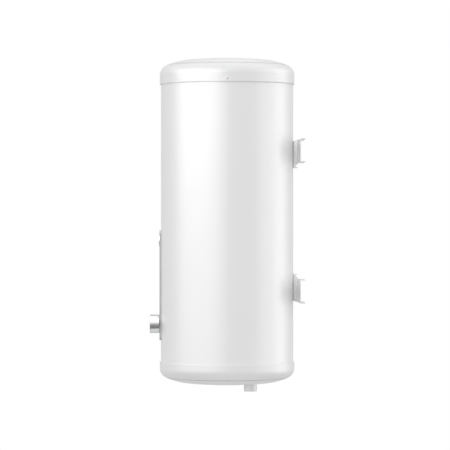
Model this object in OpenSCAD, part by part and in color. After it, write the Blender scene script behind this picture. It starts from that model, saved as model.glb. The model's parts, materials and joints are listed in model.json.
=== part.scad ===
// Wall-hung electric storage water heater, seen from the front along +Y.
// The pieces are drawn around the tank axis, with z = 0 at the lowest point of the bottom cap.
// hung() then moves them to the frame of the finished part: its origin is the centre of the
// upper bracket's hook slots, on the face that looks at the wall (+Y).

/* [Body] */
// Outside diameter of the sheet casing
casing_d = 442; // [368:1:540]
// Height from the lowest point of the bottom cap to the highest point of the top cap
overall_h = 1090; // [900:1:1320]
// Sheet thickness of the casing
casing_wall = 1; // [0.6:0.1:1.4]
// Thickness of the foam between the tank and the casing
foam_t = 24; // [20:1:40]

/* [End caps] */
// How far a cap stands out past the casing
cap_overhang = 4; // [3:0.5:6]
// Wall thickness of a cap
cap_wall = 2.5; // [1.8:0.1:3]
// Straight part of the top cap above its seam
top_skirt_h = 32; // [24:1:40]
// Straight part of the bottom cap below its seam
bottom_skirt_h = 21; // [18:1:30]
// Radius of the rounded shoulder
shoulder_r = 35; // [28:1:42]
// Slope of the dome at its edge, in degrees
edge_slope = 23.5; // [20:0.5:27]
// Slope of the dome where its flatter crown begins, in degrees
crown_slope = 5.2; // [4:0.2:6]
// Radius of the crown as a share of the dome
crown_share = 0.665; // [0.55:0.005:0.75]
// Radius of the groove round the dome
groove_r = 1.2; // [0.8:0.1:1.3]
// How far the casing goes into a cap
cap_lap = 14; // [11:1:16]

/* [Tank] */
// Wall thickness of the tank
tank_wall = 2.5; // [2:0.1:3.5]
// Height of the tank's lowest point
tank_bottom_z = 70; // [68:1:80]
// Room above the tank's highest point
tank_top_gap = 28; // [20:1:40]
// Knuckle radius of the tank's ends
head_knuckle_r = 40; // [30:1:50]

/* [Wall brackets] */
// Width of a bracket's hook plate
bracket_w = 220; // [180:2:260]
// Height of a bracket's hook plate
bracket_h = 78; // [70:1:90]
// Sheet thickness of a bracket
bracket_t = 2.5; // [2:0.1:3]
// From the casing to the wall
wall_gap = 38.5; // [34:0.5:50]
// From the casing to the hook plate's wall face
plate_gap = 23.5; // [21:0.5:28]
// From the top of the heater down to the upper bracket's centre
upper_bracket_drop = 308; // [260:1:340]
// From the bottom of the heater up to the lower bracket's centre
lower_bracket_rise = 312; // [260:1:340]
// Half width of the pedestal between the casing and the hook plate
pedestal_half_w = 22; // [20:0.5:26]
// Distance between the hook slots, sideways
slot_pitch_x = 160; // [140:2:170]
// Distance between the hook slots, up and down
slot_pitch_z = 44; // [36:1:46]
// Width of a hook slot
slot_w = 11; // [8:0.5:12]
// Length of a hook slot, end to end
slot_len = 36; // [28:1:40]

/* [Control strip] */
// Width of the control strip
strip_w = 50; // [48:1:60]
// Length of the control strip
strip_h = 368; // [300:1:440]
// How far the strip's face stands off the casing
strip_proud = 4.7; // [4:0.1:7]
// Height of the strip's lower end
strip_bottom_z = 148; // [140:1:200]
// From the strip's lower end to the knob's axis
knob_rise = 55; // [45:1:70]
// Diameter of the knob
knob_d = 62; // [50:1:74]
// Depth of the knob
knob_depth = 31.5; // [26:0.5:38]
// From the strip's upper end to the thermometer's axis
gauge_drop = 32; // [30:1:50]
// Diameter of the thermometer's bezel
gauge_d = 46; // [42:1:55]

/* [Water connections] */
// Distance of each connection from the middle, sideways
port_x = 50; // [48:1:60]
// Distance of the connections from the tank axis, towards the wall
port_y = 78; // [74:1:95]
// Outside diameter of a connection's collar
collar_d = 43; // [40:0.5:46]
// How far a collar reaches below the cap's lowest point
collar_drop = 20; // [20:1:34]
// Radius of the threaded wall in a connection
thread_r = 12.06; // [10:0.01:12.5]
// Depth of the threaded wall
thread_depth = 16; // [12:1:20]

/* [Flange] */
// Diameter of the flange plate under the tank
flange_d = 124; // [116:1:130]
// Number of flange studs
stud_count = 5; // [4:1:6]
// Radius of the service cover
cover_r = 64; // [62:0.5:66]

/* [Hidden] */
$fn = 144;

// General clearances
fit = 0.2;
turn_fit = 0.05;
slack = 1;

// Casing and caps
casing_r = casing_d / 2;
cap_r = casing_r + cap_overhang;
shoulder_turn = 90 - edge_slope;
dome_r = cap_r - shoulder_r * (1 - cos(shoulder_turn));
crown_edge_r = dome_r * crown_share;
crown_r = crown_edge_r / sin(crown_slope);
knuckle_r = (dome_r - crown_edge_r) / (sin(edge_slope) - sin(crown_slope));
shoulder_rise = shoulder_r * sin(shoulder_turn);
knuckle_rise = knuckle_r * (cos(crown_slope) - cos(edge_slope));
crown_rise = crown_r * (1 - cos(crown_slope));
dome_rise = shoulder_rise + knuckle_rise + crown_rise;
bottom_seam_z = bottom_skirt_h + dome_rise;
top_seam_z = overall_h - top_skirt_h - dome_rise;
rim_round = 1.8;
stop_w = 4;
stop_h = 3;
cap_screw_rise = 11;
cap_screw_r = 1.7;
cap_screw_len = 9;
screw_head_r = 3;
screw_head_h = 1.3;

// Bottom cap: service cover and bosses
ledge_r = cover_r - 10;
ledge_w = 14;
cover_screw_inset = 5;
cover_screw_r = 1.55;
cover_screw_sink = 0.4;
boss_x = 18;
boss_r = 5;
// More than the height of anything cut through the bottom cap's dome
through_h = 30;

// Tank
tank_r = casing_r - casing_wall - foam_t;
tank_top_z = overall_h - tank_top_gap;
head_crown_r = 1.94 * tank_r;
head_angle = asin((tank_r - head_knuckle_r) / (head_crown_r - head_knuckle_r));
head_h = head_crown_r - (head_crown_r - head_knuckle_r) * cos(head_angle);

// Brackets
web_y = casing_r + plate_gap;
upper_z = overall_h - upper_bracket_drop;
lower_z = lower_bracket_rise;
flare = 8.5;
foot_drop = 19;
foot_reach = 15;
foot_slack = 0.1;
edge_fall = 7;
bolt_pitch = 40;
bolt_r = 5;
bolt_len = 25;
bolt_head_h = 6.5;
bolt_across = 16;
washer_r = 10;
washer_t = 2;
saddle_half_w = 20;
saddle_h = 90;
saddle_t = 3;
saddle_boss_r = 9;
saddle_boss_len = 12;

// Control strip
strip_face_y = -(casing_r + strip_proud);
strip_t = 2;
strip_wall = 1.8;
strip_corner = 12;
strip_chamfer = 1.2;
strip_top_z = strip_bottom_z + strip_h;
knob_z = strip_bottom_z + knob_rise;
gauge_z = strip_top_z - gauge_drop;
lamp_z = knob_z + 62;
lamp_r = 3.2;
lamp_body_r = 4.5;
lamp_body_depth = 14;
lamp_back_y = strip_face_y + strip_t + lamp_body_depth;
slot_half_w = strip_w / 2 - 4;
slot_margin = 6;
tray_wall = 1.5;
tray_rim_t = 1.2;
tray_rim_y = -(casing_r + 1.6);
tray_back_y = -(tank_r + 3);
tray_half_w = slot_half_w - fit;
channel_half_w = 12;
channel_front_y = -(casing_r - casing_wall - 2);

// Knob and thermostat
knob_gap = 0.7;
knob_wall = 2.5;
knob_back_y = strip_face_y - knob_gap;
knob_front_y = knob_back_y - knob_depth;
knob_edge_r = 1.5;
hub_r = 6.5;
hub_recess = 3;
shaft_r = 3;
shaft_top = 7;
shaft_depth = 11;
thermostat_depth = 18;
thermostat_half_w = 15.5;
thermostat_half_h = 19;
thermostat_screw_pitch = 28;
thermostat_screw_r = 1.75;
thermostat_screw_len = 8;
index_start_angle = -135;
index_w = 1.6;
index_len = 10;
index_inset = 9;

// Thermometer
gauge_front_y = strip_face_y + 0.3;
gauge_case_r = 19.1;
gauge_case_wall = 1.2;
gauge_lip = 1.7;
gauge_lens_t = 1.2;
gauge_case_depth = 8;
gauge_back_y = gauge_front_y + gauge_case_depth;
gauge_floor_y = gauge_back_y - gauge_case_wall;
gauge_boss_r = 7;
gauge_boss_depth = 8;
gauge_pin_r = 0.75;
gauge_pin_in = 1.8;
gauge_pin_out = 4.4;
dial_t = 0.8;
needle_gap = 1.2;
needle_hub_h = 1.8;
needle_hub_r = 2.4;
gauge_needle_rest = -60;

// Flange group
neck_r = 50;
neck_bore_r = 45;
ring_h = 10;
ring_top_z = tank_bottom_z - 10;
ring_bottom_z = ring_top_z - ring_h;
gasket_t = 3;
flange_t = 4;
flange_top_z = ring_bottom_z - gasket_t;
flange_bottom_z = flange_top_z - flange_t;
stud_circle_r = flange_d / 2 - 8;
stud_r = 4;
stud_out = 3;
stud_in = 14.5;
nut_h = 6.5;
nut_across = 13;
element_x = 16;
element_y = -14;
element_r = 4;
element_h = 270;
element_out = 4;
pin_r = 2;
pin_bottom_z = flange_bottom_z - 15;
anode_y = 22;
anode_r = 11;
anode_len = 320;
anode_thread_r = 4;
anode_nut_h = 6;
sheath_y = -28;
sheath_r = 5.5;
sheath_bore_r = 4.6;
sheath_h = 250;
sheath_mouth_z = flange_bottom_z - 3;
bulb_x = 2.25;
bulb_r = 2.1;
bulb_len = 110;
bulb_bottom_z = flange_top_z + 60;

// Cut-out, terminal block and cord entry
cutout_half_w = 26;
cutout_half_d = 10;
cutout_top_z = flange_bottom_z - 13;
cutout_h = 16;
cutout_bottom_z = cutout_top_z - cutout_h;
button_r = 3;
button_out = 3.5;
button_bore_depth = 9;
button_travel = 2.5;
block_y = -118;
block_half_w = 27;
block_half_d = 11;
block_bottom_z = 12;
block_h = 18;
clamp_r = 3;
clamp_depth = 5;
wire_z = block_bottom_z + block_h / 2;
neutral_x = -16;
earth_x = 16;
grommet_x = -110;
grommet_y = 60;
grommet_wall_z = cap_drop(norm([grommet_x, grommet_y])) + cap_wall / 2;
grommet_groove = 3.2;
grommet_bore_r = 4;
grommet_neck_r = 8;
grommet_rim_r = 11;

// Wires and capillaries: depth in the channel, in the tray, and where they end
channel_wire_y = -(tank_r + 14);
channel_tube_y = -(tank_r + 8);
end_y = strip_face_y + strip_t + 10;
side_gap_x = 17.4;
tube_r = 0.9;
wire_r = 1.3;
end_gap = 0.35;

// Connections
socket_r = 15.5;
socket_passage_r = 8.2;
collar_neck_r = 19.5;
mouth_recess = 2;
pipe_r = 8;
pipe_bore_r = 6.5;
ring_groove_r = socket_r + 1;
ring_groove_w = 3;
ring_groove_depth = 1;
collar_wall_r = collar_d / 2;
collar_above_nut = 6;
diffuser_r = 13;
diffuser_h = 24;
diffuser_z = tank_bottom_z + 44;
nut_t = 3.5;
nut_r = 25;
nut_z = cap_drop(norm([port_x, port_y]) + nut_r) + cap_wall + fit;

// ---- Helpers ----

module hung() {
    translate([0, -web_y, -upper_z]) children();
}

function polar(c, r, a) = [c[0] + r * cos(a), c[1] + r * sin(a)];

// Height of a dome's outer face over its furthest point, at radius r
function cap_drop(r) = r < crown_edge_r
    ? crown_r - sqrt(crown_r ^ 2 - r ^ 2)
    : crown_rise + knuckle_r * cos(crown_slope)
      - sqrt(knuckle_r ^ 2 - (r - crown_edge_r + knuckle_r * sin(crown_slope)) ^ 2);

// The slice of a disc between an arc and its chord
module bulge(c, r, a0, a1) {
    n = [cos((a0 + a1) / 2), sin((a0 + a1) / 2)];
    h = r * (1 - cos((a1 - a0) / 2)) + slack;
    p = polar(c, r, a0);
    q = polar(c, r, a1);
    intersection() {
        translate(c) circle(r = r, $fn = 720);
        polygon([p, p + h * n, q + h * n, q]);
    }
}

// Material to take off a square corner at the origin, which leaves it with radius r
module corner_cut(r) {
    difference() {
        translate([-r, -r]) square([r + slack, r + slack]);
        translate([-r, -r]) circle(r = r);
    }
}

module round_rect(w, h, r) {
    difference() {
        square([w, h], center = true);
        for (sx = [0, 1], sy = [0, 1])
            mirror([sx, 0]) mirror([0, sy]) translate([w / 2, h / 2]) corner_cut(r);
    }
}

// A cylinder whose axis points from the wall to the front, from y0 to y1
module cyl_y(y0, y1, r) {
    translate([0, y0, 0]) rotate([-90, 0, 0]) cylinder(r = r, h = y1 - y0);
}

// A profile of radius and distance to the front, turned round the Y axis
module turned_y(y0) {
    translate([0, y0, 0]) rotate([90, 0, 0]) rotate_extrude() children();
}

module ring(r_out, r_in, h) {
    difference() {
        cylinder(r = r_out, h = h);
        translate([0, 0, -slack]) cylinder(r = r_in, h = h + 2 * slack);
    }
}

module hexagon_prism(across, h) {
    cylinder(r = across / 2 / cos(30), h = h, $fn = 6);
}

module at_ports() {
    for (side = [-1, 1]) translate([side * port_x, port_y, 0]) children();
}

module at_port(side) {
    translate([side * port_x, port_y, 0]) children();
}

// Smooth route through a list of points, with steps points between each two
function tangent(p, i) =
    let (a = p[max(i - 1, 0)], b = p[i], c = p[min(i + 1, len(p) - 1)],
         before = norm(b - a), after = norm(c - b))
    unit(c - a) * (before == 0 ? after : after == 0 ? before : min(before, after));
function spline_point(p, i, t) =
    (2 * t ^ 3 - 3 * t ^ 2 + 1) * p[i] + (t ^ 3 - 2 * t ^ 2 + t) * tangent(p, i)
    + (3 * t ^ 2 - 2 * t ^ 3) * p[i + 1] + (t ^ 3 - t ^ 2) * tangent(p, i + 1);
function route(p, steps) = concat(
    [for (i = [0 : len(p) - 2], k = [0 : steps - 1]) spline_point(p, i, k / steps)],
    [p[len(p) - 1]]);
function unit(v) = v / norm(v);
function direction(q, i) = unit(q[min(i + 1, len(q) - 1)] - q[max(i - 1, 0)]);
// A cross direction carried along the route, so that the tube doesn't twist
function carried(q, i) = i == 0
    ? unit(cross(direction(q, 0), [0.31, 0.87, 0.17]))
    : let (u = carried(q, i - 1), d = direction(q, i)) unit(u - (u * d) * d);

module tube_along(points, r, steps = 4, sides = 8) {
    q = route(points, steps);
    rings = [for (i = [0 : len(q) - 1])
        let (d = direction(q, i), u = carried(q, i), v = cross(d, u))
        for (k = [0 : sides - 1]) q[i] + r * (cos(360 * k / sides) * u + sin(360 * k / sides) * v)];
    last = (len(q) - 1) * sides;
    polyhedron(rings, concat(
        [[for (k = [0 : sides - 1]) k]],
        [[for (k = [sides - 1 : -1 : 0]) last + k]],
        [for (i = [0 : len(q) - 2], k = [0 : sides - 1])
            let (n = (k + 1) % sides)
            [i * sides + n, i * sides + k, (i + 1) * sides + k, (i + 1) * sides + n]]));
}

// ---- Casing and caps ----

// Half section of a cap, filled, with its seam at z = 0 and its walls set in by inset
module cap_region(skirt_h, inset) {
    shoulder_c = [cap_r - shoulder_r, skirt_h];
    knuckle_c = polar([dome_r, skirt_h + shoulder_rise], -knuckle_r, 90 - edge_slope);
    crown_c = [0, skirt_h + dome_rise - crown_r];
    polygon([[0, 0], [cap_r - inset, 0], [cap_r - inset, skirt_h],
             polar(shoulder_c, shoulder_r - inset, shoulder_turn),
             polar(knuckle_c, knuckle_r - inset, 90 - crown_slope),
             [0, skirt_h + dome_rise - inset]]);
    bulge(shoulder_c, shoulder_r - inset, 0, shoulder_turn);
    bulge(knuckle_c, knuckle_r - inset, 90 - edge_slope, 90 - crown_slope);
    bulge(crown_c, crown_r - inset, 90 - crown_slope, 90);
}

module cap_section(skirt_h) {
    difference() {
        cap_region(skirt_h, 0);
        difference() {
            cap_region(skirt_h, cap_wall);
            translate([casing_r + fit, -slack]) square([2 * cap_overhang, cap_lap + slack]);
            translate([casing_r - stop_w, cap_lap + fit / 2]) square([2 * stop_w, stop_h]);
        }
        translate([cap_r, 0]) mirror([0, 1]) corner_cut(rim_round);
        translate([dome_r, skirt_h + shoulder_rise]) circle(r = groove_r);
    }
}

module at_bottom_cap() {
    translate([0, 0, bottom_seam_z]) mirror([0, 0, 1]) children();
}

module at_cap_screws() {
    for (side = [0, 180])
        rotate([0, 0, side]) translate([cap_r, 0, top_seam_z + cap_screw_rise])
            rotate([0, 90, 0]) children();
}

module casing() {
    bottom = bottom_seam_z - cap_lap;
    height = top_seam_z + cap_lap - bottom;
    color("white") difference() {
        translate([0, 0, bottom]) ring(casing_r, casing_r - casing_wall, height);
        translate([-slot_half_w, -casing_r - slack, strip_bottom_z + slot_margin])
            cube([2 * slot_half_w, casing_r / 2, strip_h - 2 * slot_margin]);
        for (z = [upper_z, lower_z], dz = [-1, 1])
            translate([0, 0, z + dz * bolt_pitch / 2])
                cyl_y(tank_r, casing_r + slack, bolt_r + 1);
        at_cap_screws() translate([0, 0, -2 * cap_overhang])
            cylinder(r = cap_screw_r + fit, h = 2 * cap_overhang);
    }
}

module top_cap() {
    color("white") difference() {
        translate([0, 0, top_seam_z]) rotate_extrude() cap_section(top_skirt_h);
        at_cap_screws() translate([0, 0, -2 * cap_overhang])
            cylinder(r = cap_screw_r + fit, h = 3 * cap_overhang);
    }
}

module cap_screws() {
    color("dimgray") at_cap_screws() {
        translate([0, 0, fit / 2]) cylinder(r = screw_head_r, h = screw_head_h);
        translate([0, 0, -cap_screw_len]) cylinder(r = cap_screw_r, h = cap_screw_len + fit);
    }
}

// Everything between the bottom cap's face and a face set in by depth
module bottom_skin(out, depth) {
    at_bottom_cap() rotate_extrude() difference() {
        cap_region(bottom_skirt_h, -out);
        cap_region(bottom_skirt_h, depth);
    }
}

module bottom_cap() {
    color("white") difference() {
        union() {
            at_bottom_cap() rotate_extrude() cap_section(bottom_skirt_h);
            // Ledge that the service cover lies against
            at_bottom_cap() rotate_extrude() difference() {
                intersection() {
                    cap_region(bottom_skirt_h, cap_wall / 2);
                    translate([ledge_r, 0]) square([ledge_w, bottom_seam_z]);
                }
                cap_region(bottom_skirt_h, 2 * cap_wall);
            }
            // Bosses under the terminal block
            intersection() {
                for (side = [-1, 1])
                    translate([side * boss_x, block_y, 0]) cylinder(r = boss_r, h = block_bottom_z);
                at_bottom_cap() rotate_extrude() cap_region(bottom_skirt_h, cap_wall / 2);
            }
        }
        intersection() {
            cylinder(r = cover_r + fit, h = through_h);
            bottom_skin(slack, cap_wall);
        }
        translate([0, 0, -slack]) {
            cylinder(r = ledge_r, h = through_h);
            at_cover_screws() cylinder(r = cover_screw_r + 0.05, h = through_h);
            at_ports() cylinder(r = collar_neck_r + fit, h = through_h);
            translate([grommet_x, grommet_y, 0]) cylinder(r = grommet_neck_r + fit, h = through_h);
        }
    }
}

module at_cover_screws() {
    for (a = [90, 210, 330])
        rotate([0, 0, a]) translate([cover_r - cover_screw_inset, 0, 0]) children();
}

module service_cover() {
    color("white") difference() {
        intersection() {
            translate([0, 0, -slack]) cylinder(r = cover_r, h = through_h);
            bottom_skin(0, cap_wall - fit / 2);
        }
        translate([0, 0, -slack]) {
            at_cover_screws() cylinder(r = cover_screw_r + 2 * fit, h = through_h);
            at_cover_screws() cylinder(r = screw_head_r + 2 * fit, h = slack + cover_screw_sink + 1);
        }
    }
}

module cover_screws() {
    color("silver") at_cover_screws() translate([0, 0, cover_screw_sink]) {
        cylinder(r = screw_head_r, h = screw_head_h - 0.3);
        cylinder(r = cover_screw_r, h = cap_screw_len);
    }
}

// ---- Tank and insulation ----

module tank_region(inset) {
    low_line = tank_bottom_z + head_h;
    high_line = tank_top_z - head_h;
    low_knuckle = [tank_r - head_knuckle_r, low_line];
    high_knuckle = [tank_r - head_knuckle_r, high_line];
    k = head_knuckle_r - inset;
    polygon([[0, tank_bottom_z + inset], polar(low_knuckle, k, head_angle - 90),
             [tank_r - inset, low_line], [tank_r - inset, high_line],
             polar(high_knuckle, k, 90 - head_angle), [0, tank_top_z - inset]]);
    bulge(low_knuckle, k, head_angle - 90, 0);
    bulge(high_knuckle, k, 0, 90 - head_angle);
    bulge([0, tank_top_z - head_crown_r], head_crown_r - inset, 90 - head_angle, 90);
    bulge([0, tank_bottom_z + head_crown_r], head_crown_r - inset, -90, head_angle - 90);
}

module at_studs() {
    for (i = [0 : stud_count - 1])
        rotate([0, 0, 90 + 360 * i / stud_count]) translate([stud_circle_r, 0, 0]) children();
}

module inner_tank() {
    color("lightsteelblue") difference() {
        union() {
            rotate_extrude() difference() {
                tank_region(0);
                tank_region(tank_wall);
            }
            translate([0, 0, ring_top_z - slack])
                cylinder(r = neck_r, h = tank_bottom_z - ring_top_z + 5 * slack);
            translate([0, 0, ring_bottom_z]) cylinder(r = flange_d / 2, h = ring_h);
        }
        translate([0, 0, ring_bottom_z - slack]) cylinder(r = neck_bore_r, h = 4 * ring_h);
        at_studs() translate([0, 0, ring_bottom_z - slack])
            cylinder(r = stud_r + turn_fit, h = ring_h - slack);
        at_ports() translate([0, 0, ring_bottom_z]) cylinder(r = socket_r + fit / 2, h = tank_bottom_z);
    }
}

module foam_insulation() {
    foam_bottom = bottom_seam_z - cap_lap + fit;
    foam_shoulder = top_seam_z + cap_lap - fit;
    color("khaki") difference() {
        rotate_extrude() difference() {
            union() {
                translate([0, foam_bottom])
                    square([casing_r - casing_wall - fit, foam_shoulder - foam_bottom]);
                intersection() {
                    translate([0, top_seam_z]) cap_region(top_skirt_h, cap_wall + fit);
                    translate([0, foam_shoulder - slack])
                        square([casing_r - stop_w - fit, overall_h]);
                }
            }
            tank_region(-fit);
            square([flange_d / 2 + ring_h, tank_bottom_z + head_h / 4]);
        }
        at_ports() cylinder(r = socket_r + 2 * fit, h = tank_bottom_z + head_h);
        translate([-slot_half_w, -casing_r, strip_bottom_z + slot_margin])
            cube([2 * slot_half_w, casing_r + tray_back_y + fit, strip_h - 2 * slot_margin]);
        translate([-channel_half_w, channel_front_y, 0])
            cube([2 * channel_half_w, tray_back_y - channel_front_y,
                  strip_bottom_z + slot_margin + slack]);
        for (z = [upper_z, lower_z])
            translate([-saddle_half_w - fit, tank_r / 2, z - saddle_h / 2 - fit])
                cube([2 * saddle_half_w + 2 * fit, casing_r, saddle_h + 2 * fit]);
        at_cap_screws() translate([0, 0, -2 * cap_screw_len])
            cylinder(r = screw_head_r, h = 2 * cap_screw_len);
    }
}

// ---- Wall brackets ----

// Section of the bracket from above: pedestal, flares and hook plate
module bracket_section() {
    t = bracket_t;
    y0 = casing_r + fit / 2;
    y_web = web_y - t;
    y_bend = y_web - flare;
    x1 = pedestal_half_w;
    x2 = pedestal_half_w + flare;
    b = t * tan(22.5);
    half = [[x1, y0], [x1, y_bend], [x2, y_web], [bracket_w / 2, y_web],
            [bracket_w / 2, y_web + t], [x2 - b, y_web + t], [x1 - t, y_bend + b], [x1 - t, y0 + t]];
    polygon(concat(half, [for (i = [len(half) - 1 : -1 : 0]) [-half[i][0], half[i][1]]]));
}

// A plate of the given width whose outline is drawn in the side view, from the wall side
module across(half_w, y0, z0) {
    translate([-half_w, y0, z0]) rotate([90, 0, 90]) linear_extrude(2 * half_w) children();
}

// Upper bracket, drawn round its own mid-height
module bracket() {
    t = bracket_t;
    y0 = casing_r + fit / 2;
    y_wall = casing_r + wall_gap;
    top = bracket_h / 2;
    foot_z = -top - foot_drop;
    web = web_y - y0;
    difference() {
        union() {
            difference() {
                translate([0, 0, foot_z + t / 2])
                    linear_extrude(top - foot_z - t) bracket_section();
                // The hook plate ends at its own lower edge, and the pedestal slants in below it
                across(bracket_w, y0 - slack, foot_z)
                    polygon([[foot_reach, 0], [foot_reach + wall_gap, 0],
                             [foot_reach + wall_gap, foot_drop], [web - 2 * t, foot_drop],
                             [2 * t, t]]);
                // The pedestal's upper edge falls towards the casing
                across(pedestal_half_w + flare + t, y0 + t, top - t / 2)
                    polygon([[-2 * t, -edge_fall], [plate_gap - 3 * t, 0],
                             [plate_gap - 3 * t, edge_fall], [-2 * t, edge_fall]]);
            }
            // Lips towards the wall
            for (z = [-top, top - t])
                translate([-bracket_w / 2, web_y - t, z]) cube([bracket_w, y_wall - web_y + t, t]);
            // Slanting wall and foot lip under the pedestal
            across(pedestal_half_w, y0, foot_z)
                polygon([[foot_slack, 0], [foot_reach - slack, 0], [foot_reach - slack, t],
                         [3 * t - slack, 1.4 * t], [web - t - slack, foot_drop],
                         [web - t - slack, foot_drop + t], [web - 3 * t - slack, foot_drop + t],
                         [t, 2 * t], [foot_slack, 2 * t]]);
        }
        for (sx = [-1, 1], sz = [-1, 1])
            translate([sx * slot_pitch_x / 2, web_y + slack, sz * slot_pitch_z / 2])
                rotate([90, 0, 0]) linear_extrude(bracket_t + 2 * slack) slot_shape();
        for (sz = [-1, 1])
            translate([0, 0, sz * bolt_pitch / 2])
                cyl_y(casing_r - slack, casing_r + 3 * bracket_t, bolt_r + 0.5);
    }
}

module slot_shape() {
    straight = slot_len - slot_w;
    square([straight, slot_w], center = true);
    for (side = [-1, 1]) translate([side * straight / 2, 0]) circle(d = slot_w);
}

module upper_bracket() {
    color("whitesmoke") translate([0, 0, upper_z]) bracket();
}

module lower_bracket() {
    color("whitesmoke") translate([0, 0, lower_z]) mirror([0, 0, 1]) bracket();
}

// Channel welded to the tank, which the bracket's bolts screw into
module saddle() {
    inner_w = saddle_half_w - saddle_t;
    front_y = casing_r - casing_wall - fit;
    difference() {
        intersection() {
            translate([-saddle_half_w, tank_r / 2, -saddle_h / 2])
                cube([2 * saddle_half_w, casing_r, saddle_h]);
            translate([0, 0, -saddle_h]) cylinder(r = front_y, h = 2 * saddle_h);
        }
        translate([0, 0, -saddle_h]) cylinder(r = tank_r + fit / 2, h = 2 * saddle_h);
        difference() {
            translate([-inner_w, tank_r / 2, -saddle_h])
                cube([2 * inner_w, front_y - saddle_t - tank_r / 2, 2 * saddle_h]);
            for (sz = [-1, 1])
                translate([0, 0, sz * bolt_pitch / 2])
                    cyl_y(front_y - saddle_boss_len, front_y, saddle_boss_r);
        }
        for (sz = [-1, 1])
            translate([0, 0, sz * bolt_pitch / 2]) cyl_y(tank_r, casing_r, bolt_r + turn_fit);
    }
}

module upper_saddle() {
    color("gray") translate([0, 0, upper_z]) saddle();
}

module lower_saddle() {
    color("gray") translate([0, 0, lower_z]) saddle();
}

module at_bracket_bolts() {
    for (z = [upper_z, lower_z], sz = [-1, 1])
        translate([0, casing_r + fit / 2 + bracket_t, z + sz * bolt_pitch / 2]) children();
}

module bracket_washers() {
    color("silver") at_bracket_bolts() rotate([-90, 0, 0]) ring(washer_r, bolt_r + fit, washer_t);
}

module bracket_bolts() {
    color("silver") at_bracket_bolts() {
        translate([0, washer_t, 0]) rotate([-90, 0, 0]) hexagon_prism(bolt_across, bolt_head_h);
        translate([0, washer_t - bolt_len, 0]) cyl_y(0, bolt_len + slack, bolt_r);
    }
}

// ---- Control strip ----

// A prism through the strip's length, from its plan seen from the front
module strip_prism(y0, y1, inset) {
    translate([0, y0, (strip_bottom_z + strip_top_z) / 2]) rotate([90, 0, 0])
        mirror([0, 0, 1]) linear_extrude(y1 - y0)
            round_rect(strip_w - 2 * inset, strip_h - 2 * inset, strip_corner - inset);
}

module control_strip() {
    half = strip_w / 2;
    back_y = strip_face_y + half;
    color("lightgray") difference() {
        intersection() {
            strip_prism(strip_face_y, back_y - slack, 0);
            // Chamfered long edges
            translate([0, 0, strip_bottom_z]) linear_extrude(strip_h)
                polygon([[-half + strip_chamfer, strip_face_y], [half - strip_chamfer, strip_face_y],
                         [half, strip_face_y + strip_chamfer], [half, back_y],
                         [-half, back_y], [-half, strip_face_y + strip_chamfer]]);
        }
        translate([0, 0, strip_bottom_z - slack])
            cylinder(r = casing_r + fit, h = strip_h + 2 * slack);
        strip_prism(strip_face_y + strip_t, back_y, strip_wall);
        translate([0, 0, gauge_z]) cyl_y(strip_face_y - slack, 0, gauge_case_r + fit);
        translate([0, 0, lamp_z]) cyl_y(strip_face_y - slack, 0, lamp_r + fit);
        translate([0, 0, knob_z]) cyl_y(strip_face_y - slack, 0, shaft_r + 3 * fit);
        at_thermostat_screws() cyl_y(strip_face_y - slack, 0, thermostat_screw_r + 2 * fit);
    }
}

module strip_tray() {
    z0 = strip_bottom_z + slot_margin + fit;
    h = strip_h - 2 * slot_margin - 2 * fit;
    inner = tray_half_w - tray_wall;
    rim = tray_half_w + tray_wall;
    color("darkgray") difference() {
        union() {
            translate([-tray_half_w, tray_rim_y, z0])
                cube([2 * tray_half_w, tray_back_y - tray_rim_y, h]);
            translate([0, tray_rim_y + tray_rim_t, z0 + h / 2]) rotate([90, 0, 0])
                linear_extrude(tray_rim_t)
                    round_rect(2 * rim, h + 2 * tray_wall, strip_corner - strip_wall);
        }
        translate([-inner, tray_rim_y - slack, z0 + tray_wall])
            cube([2 * inner, tray_back_y - tray_rim_y - tray_wall + slack, h - 2 * tray_wall]);
        // Opening for the wires and the capillaries
        translate([-channel_half_w, channel_front_y + 2, z0 - slack])
            cube([2 * channel_half_w, tray_back_y - channel_front_y - 4, tray_wall + 2 * slack]);
    }
}

module knob() {
    color("silver") translate([0, 0, knob_z]) difference() {
        turned_y(knob_back_y) difference() {
            square([knob_d / 2, knob_depth]);
            translate([knob_d / 2, knob_depth]) corner_cut(knob_edge_r);
        }
        // Hollow round the hub
        difference() {
            cyl_y(knob_front_y + knob_wall, knob_back_y + slack, knob_d / 2 - knob_wall);
            cyl_y(knob_front_y, knob_back_y - hub_recess, hub_r);
        }
        cyl_y(knob_front_y + shaft_top - slack, knob_back_y + slack, shaft_r + turn_fit);
        index_place() cube([index_w + 2 * fit, 2, index_len + 2 * fit], center = true);
    }
}

module index_place() {
    rotate([0, index_start_angle, 0])
        translate([0, knob_front_y, knob_d / 2 - index_inset]) children();
}

module knob_index() {
    index_t = 1.3;
    color("red") translate([0, 0, knob_z]) index_place()
        translate([0, 1 - index_t / 2, 0]) cube([index_w, index_t, index_len], center = true);
}

module thermostat_shaft() {
    color("gray") translate([0, 0, knob_z])
        cyl_y(knob_front_y + shaft_top, strip_face_y + strip_t + shaft_depth, shaft_r);
}

module thermostat_body() {
    front_y = strip_face_y + strip_t;
    color("ivory") difference() {
        translate([-thermostat_half_w, front_y, knob_z - thermostat_half_h])
            cube([2 * thermostat_half_w, thermostat_depth, 2 * thermostat_half_h]);
        translate([0, 0, knob_z])
            cyl_y(front_y - slack, front_y + shaft_depth + slack, shaft_r + turn_fit);
        at_thermostat_screws()
            cyl_y(front_y - slack, front_y + thermostat_screw_len + slack,
                  thermostat_screw_r + turn_fit);
    }
}

module at_thermostat_screws() {
    for (sz = [-1, 1]) translate([0, 0, knob_z + sz * thermostat_screw_pitch / 2]) children();
}

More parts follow.
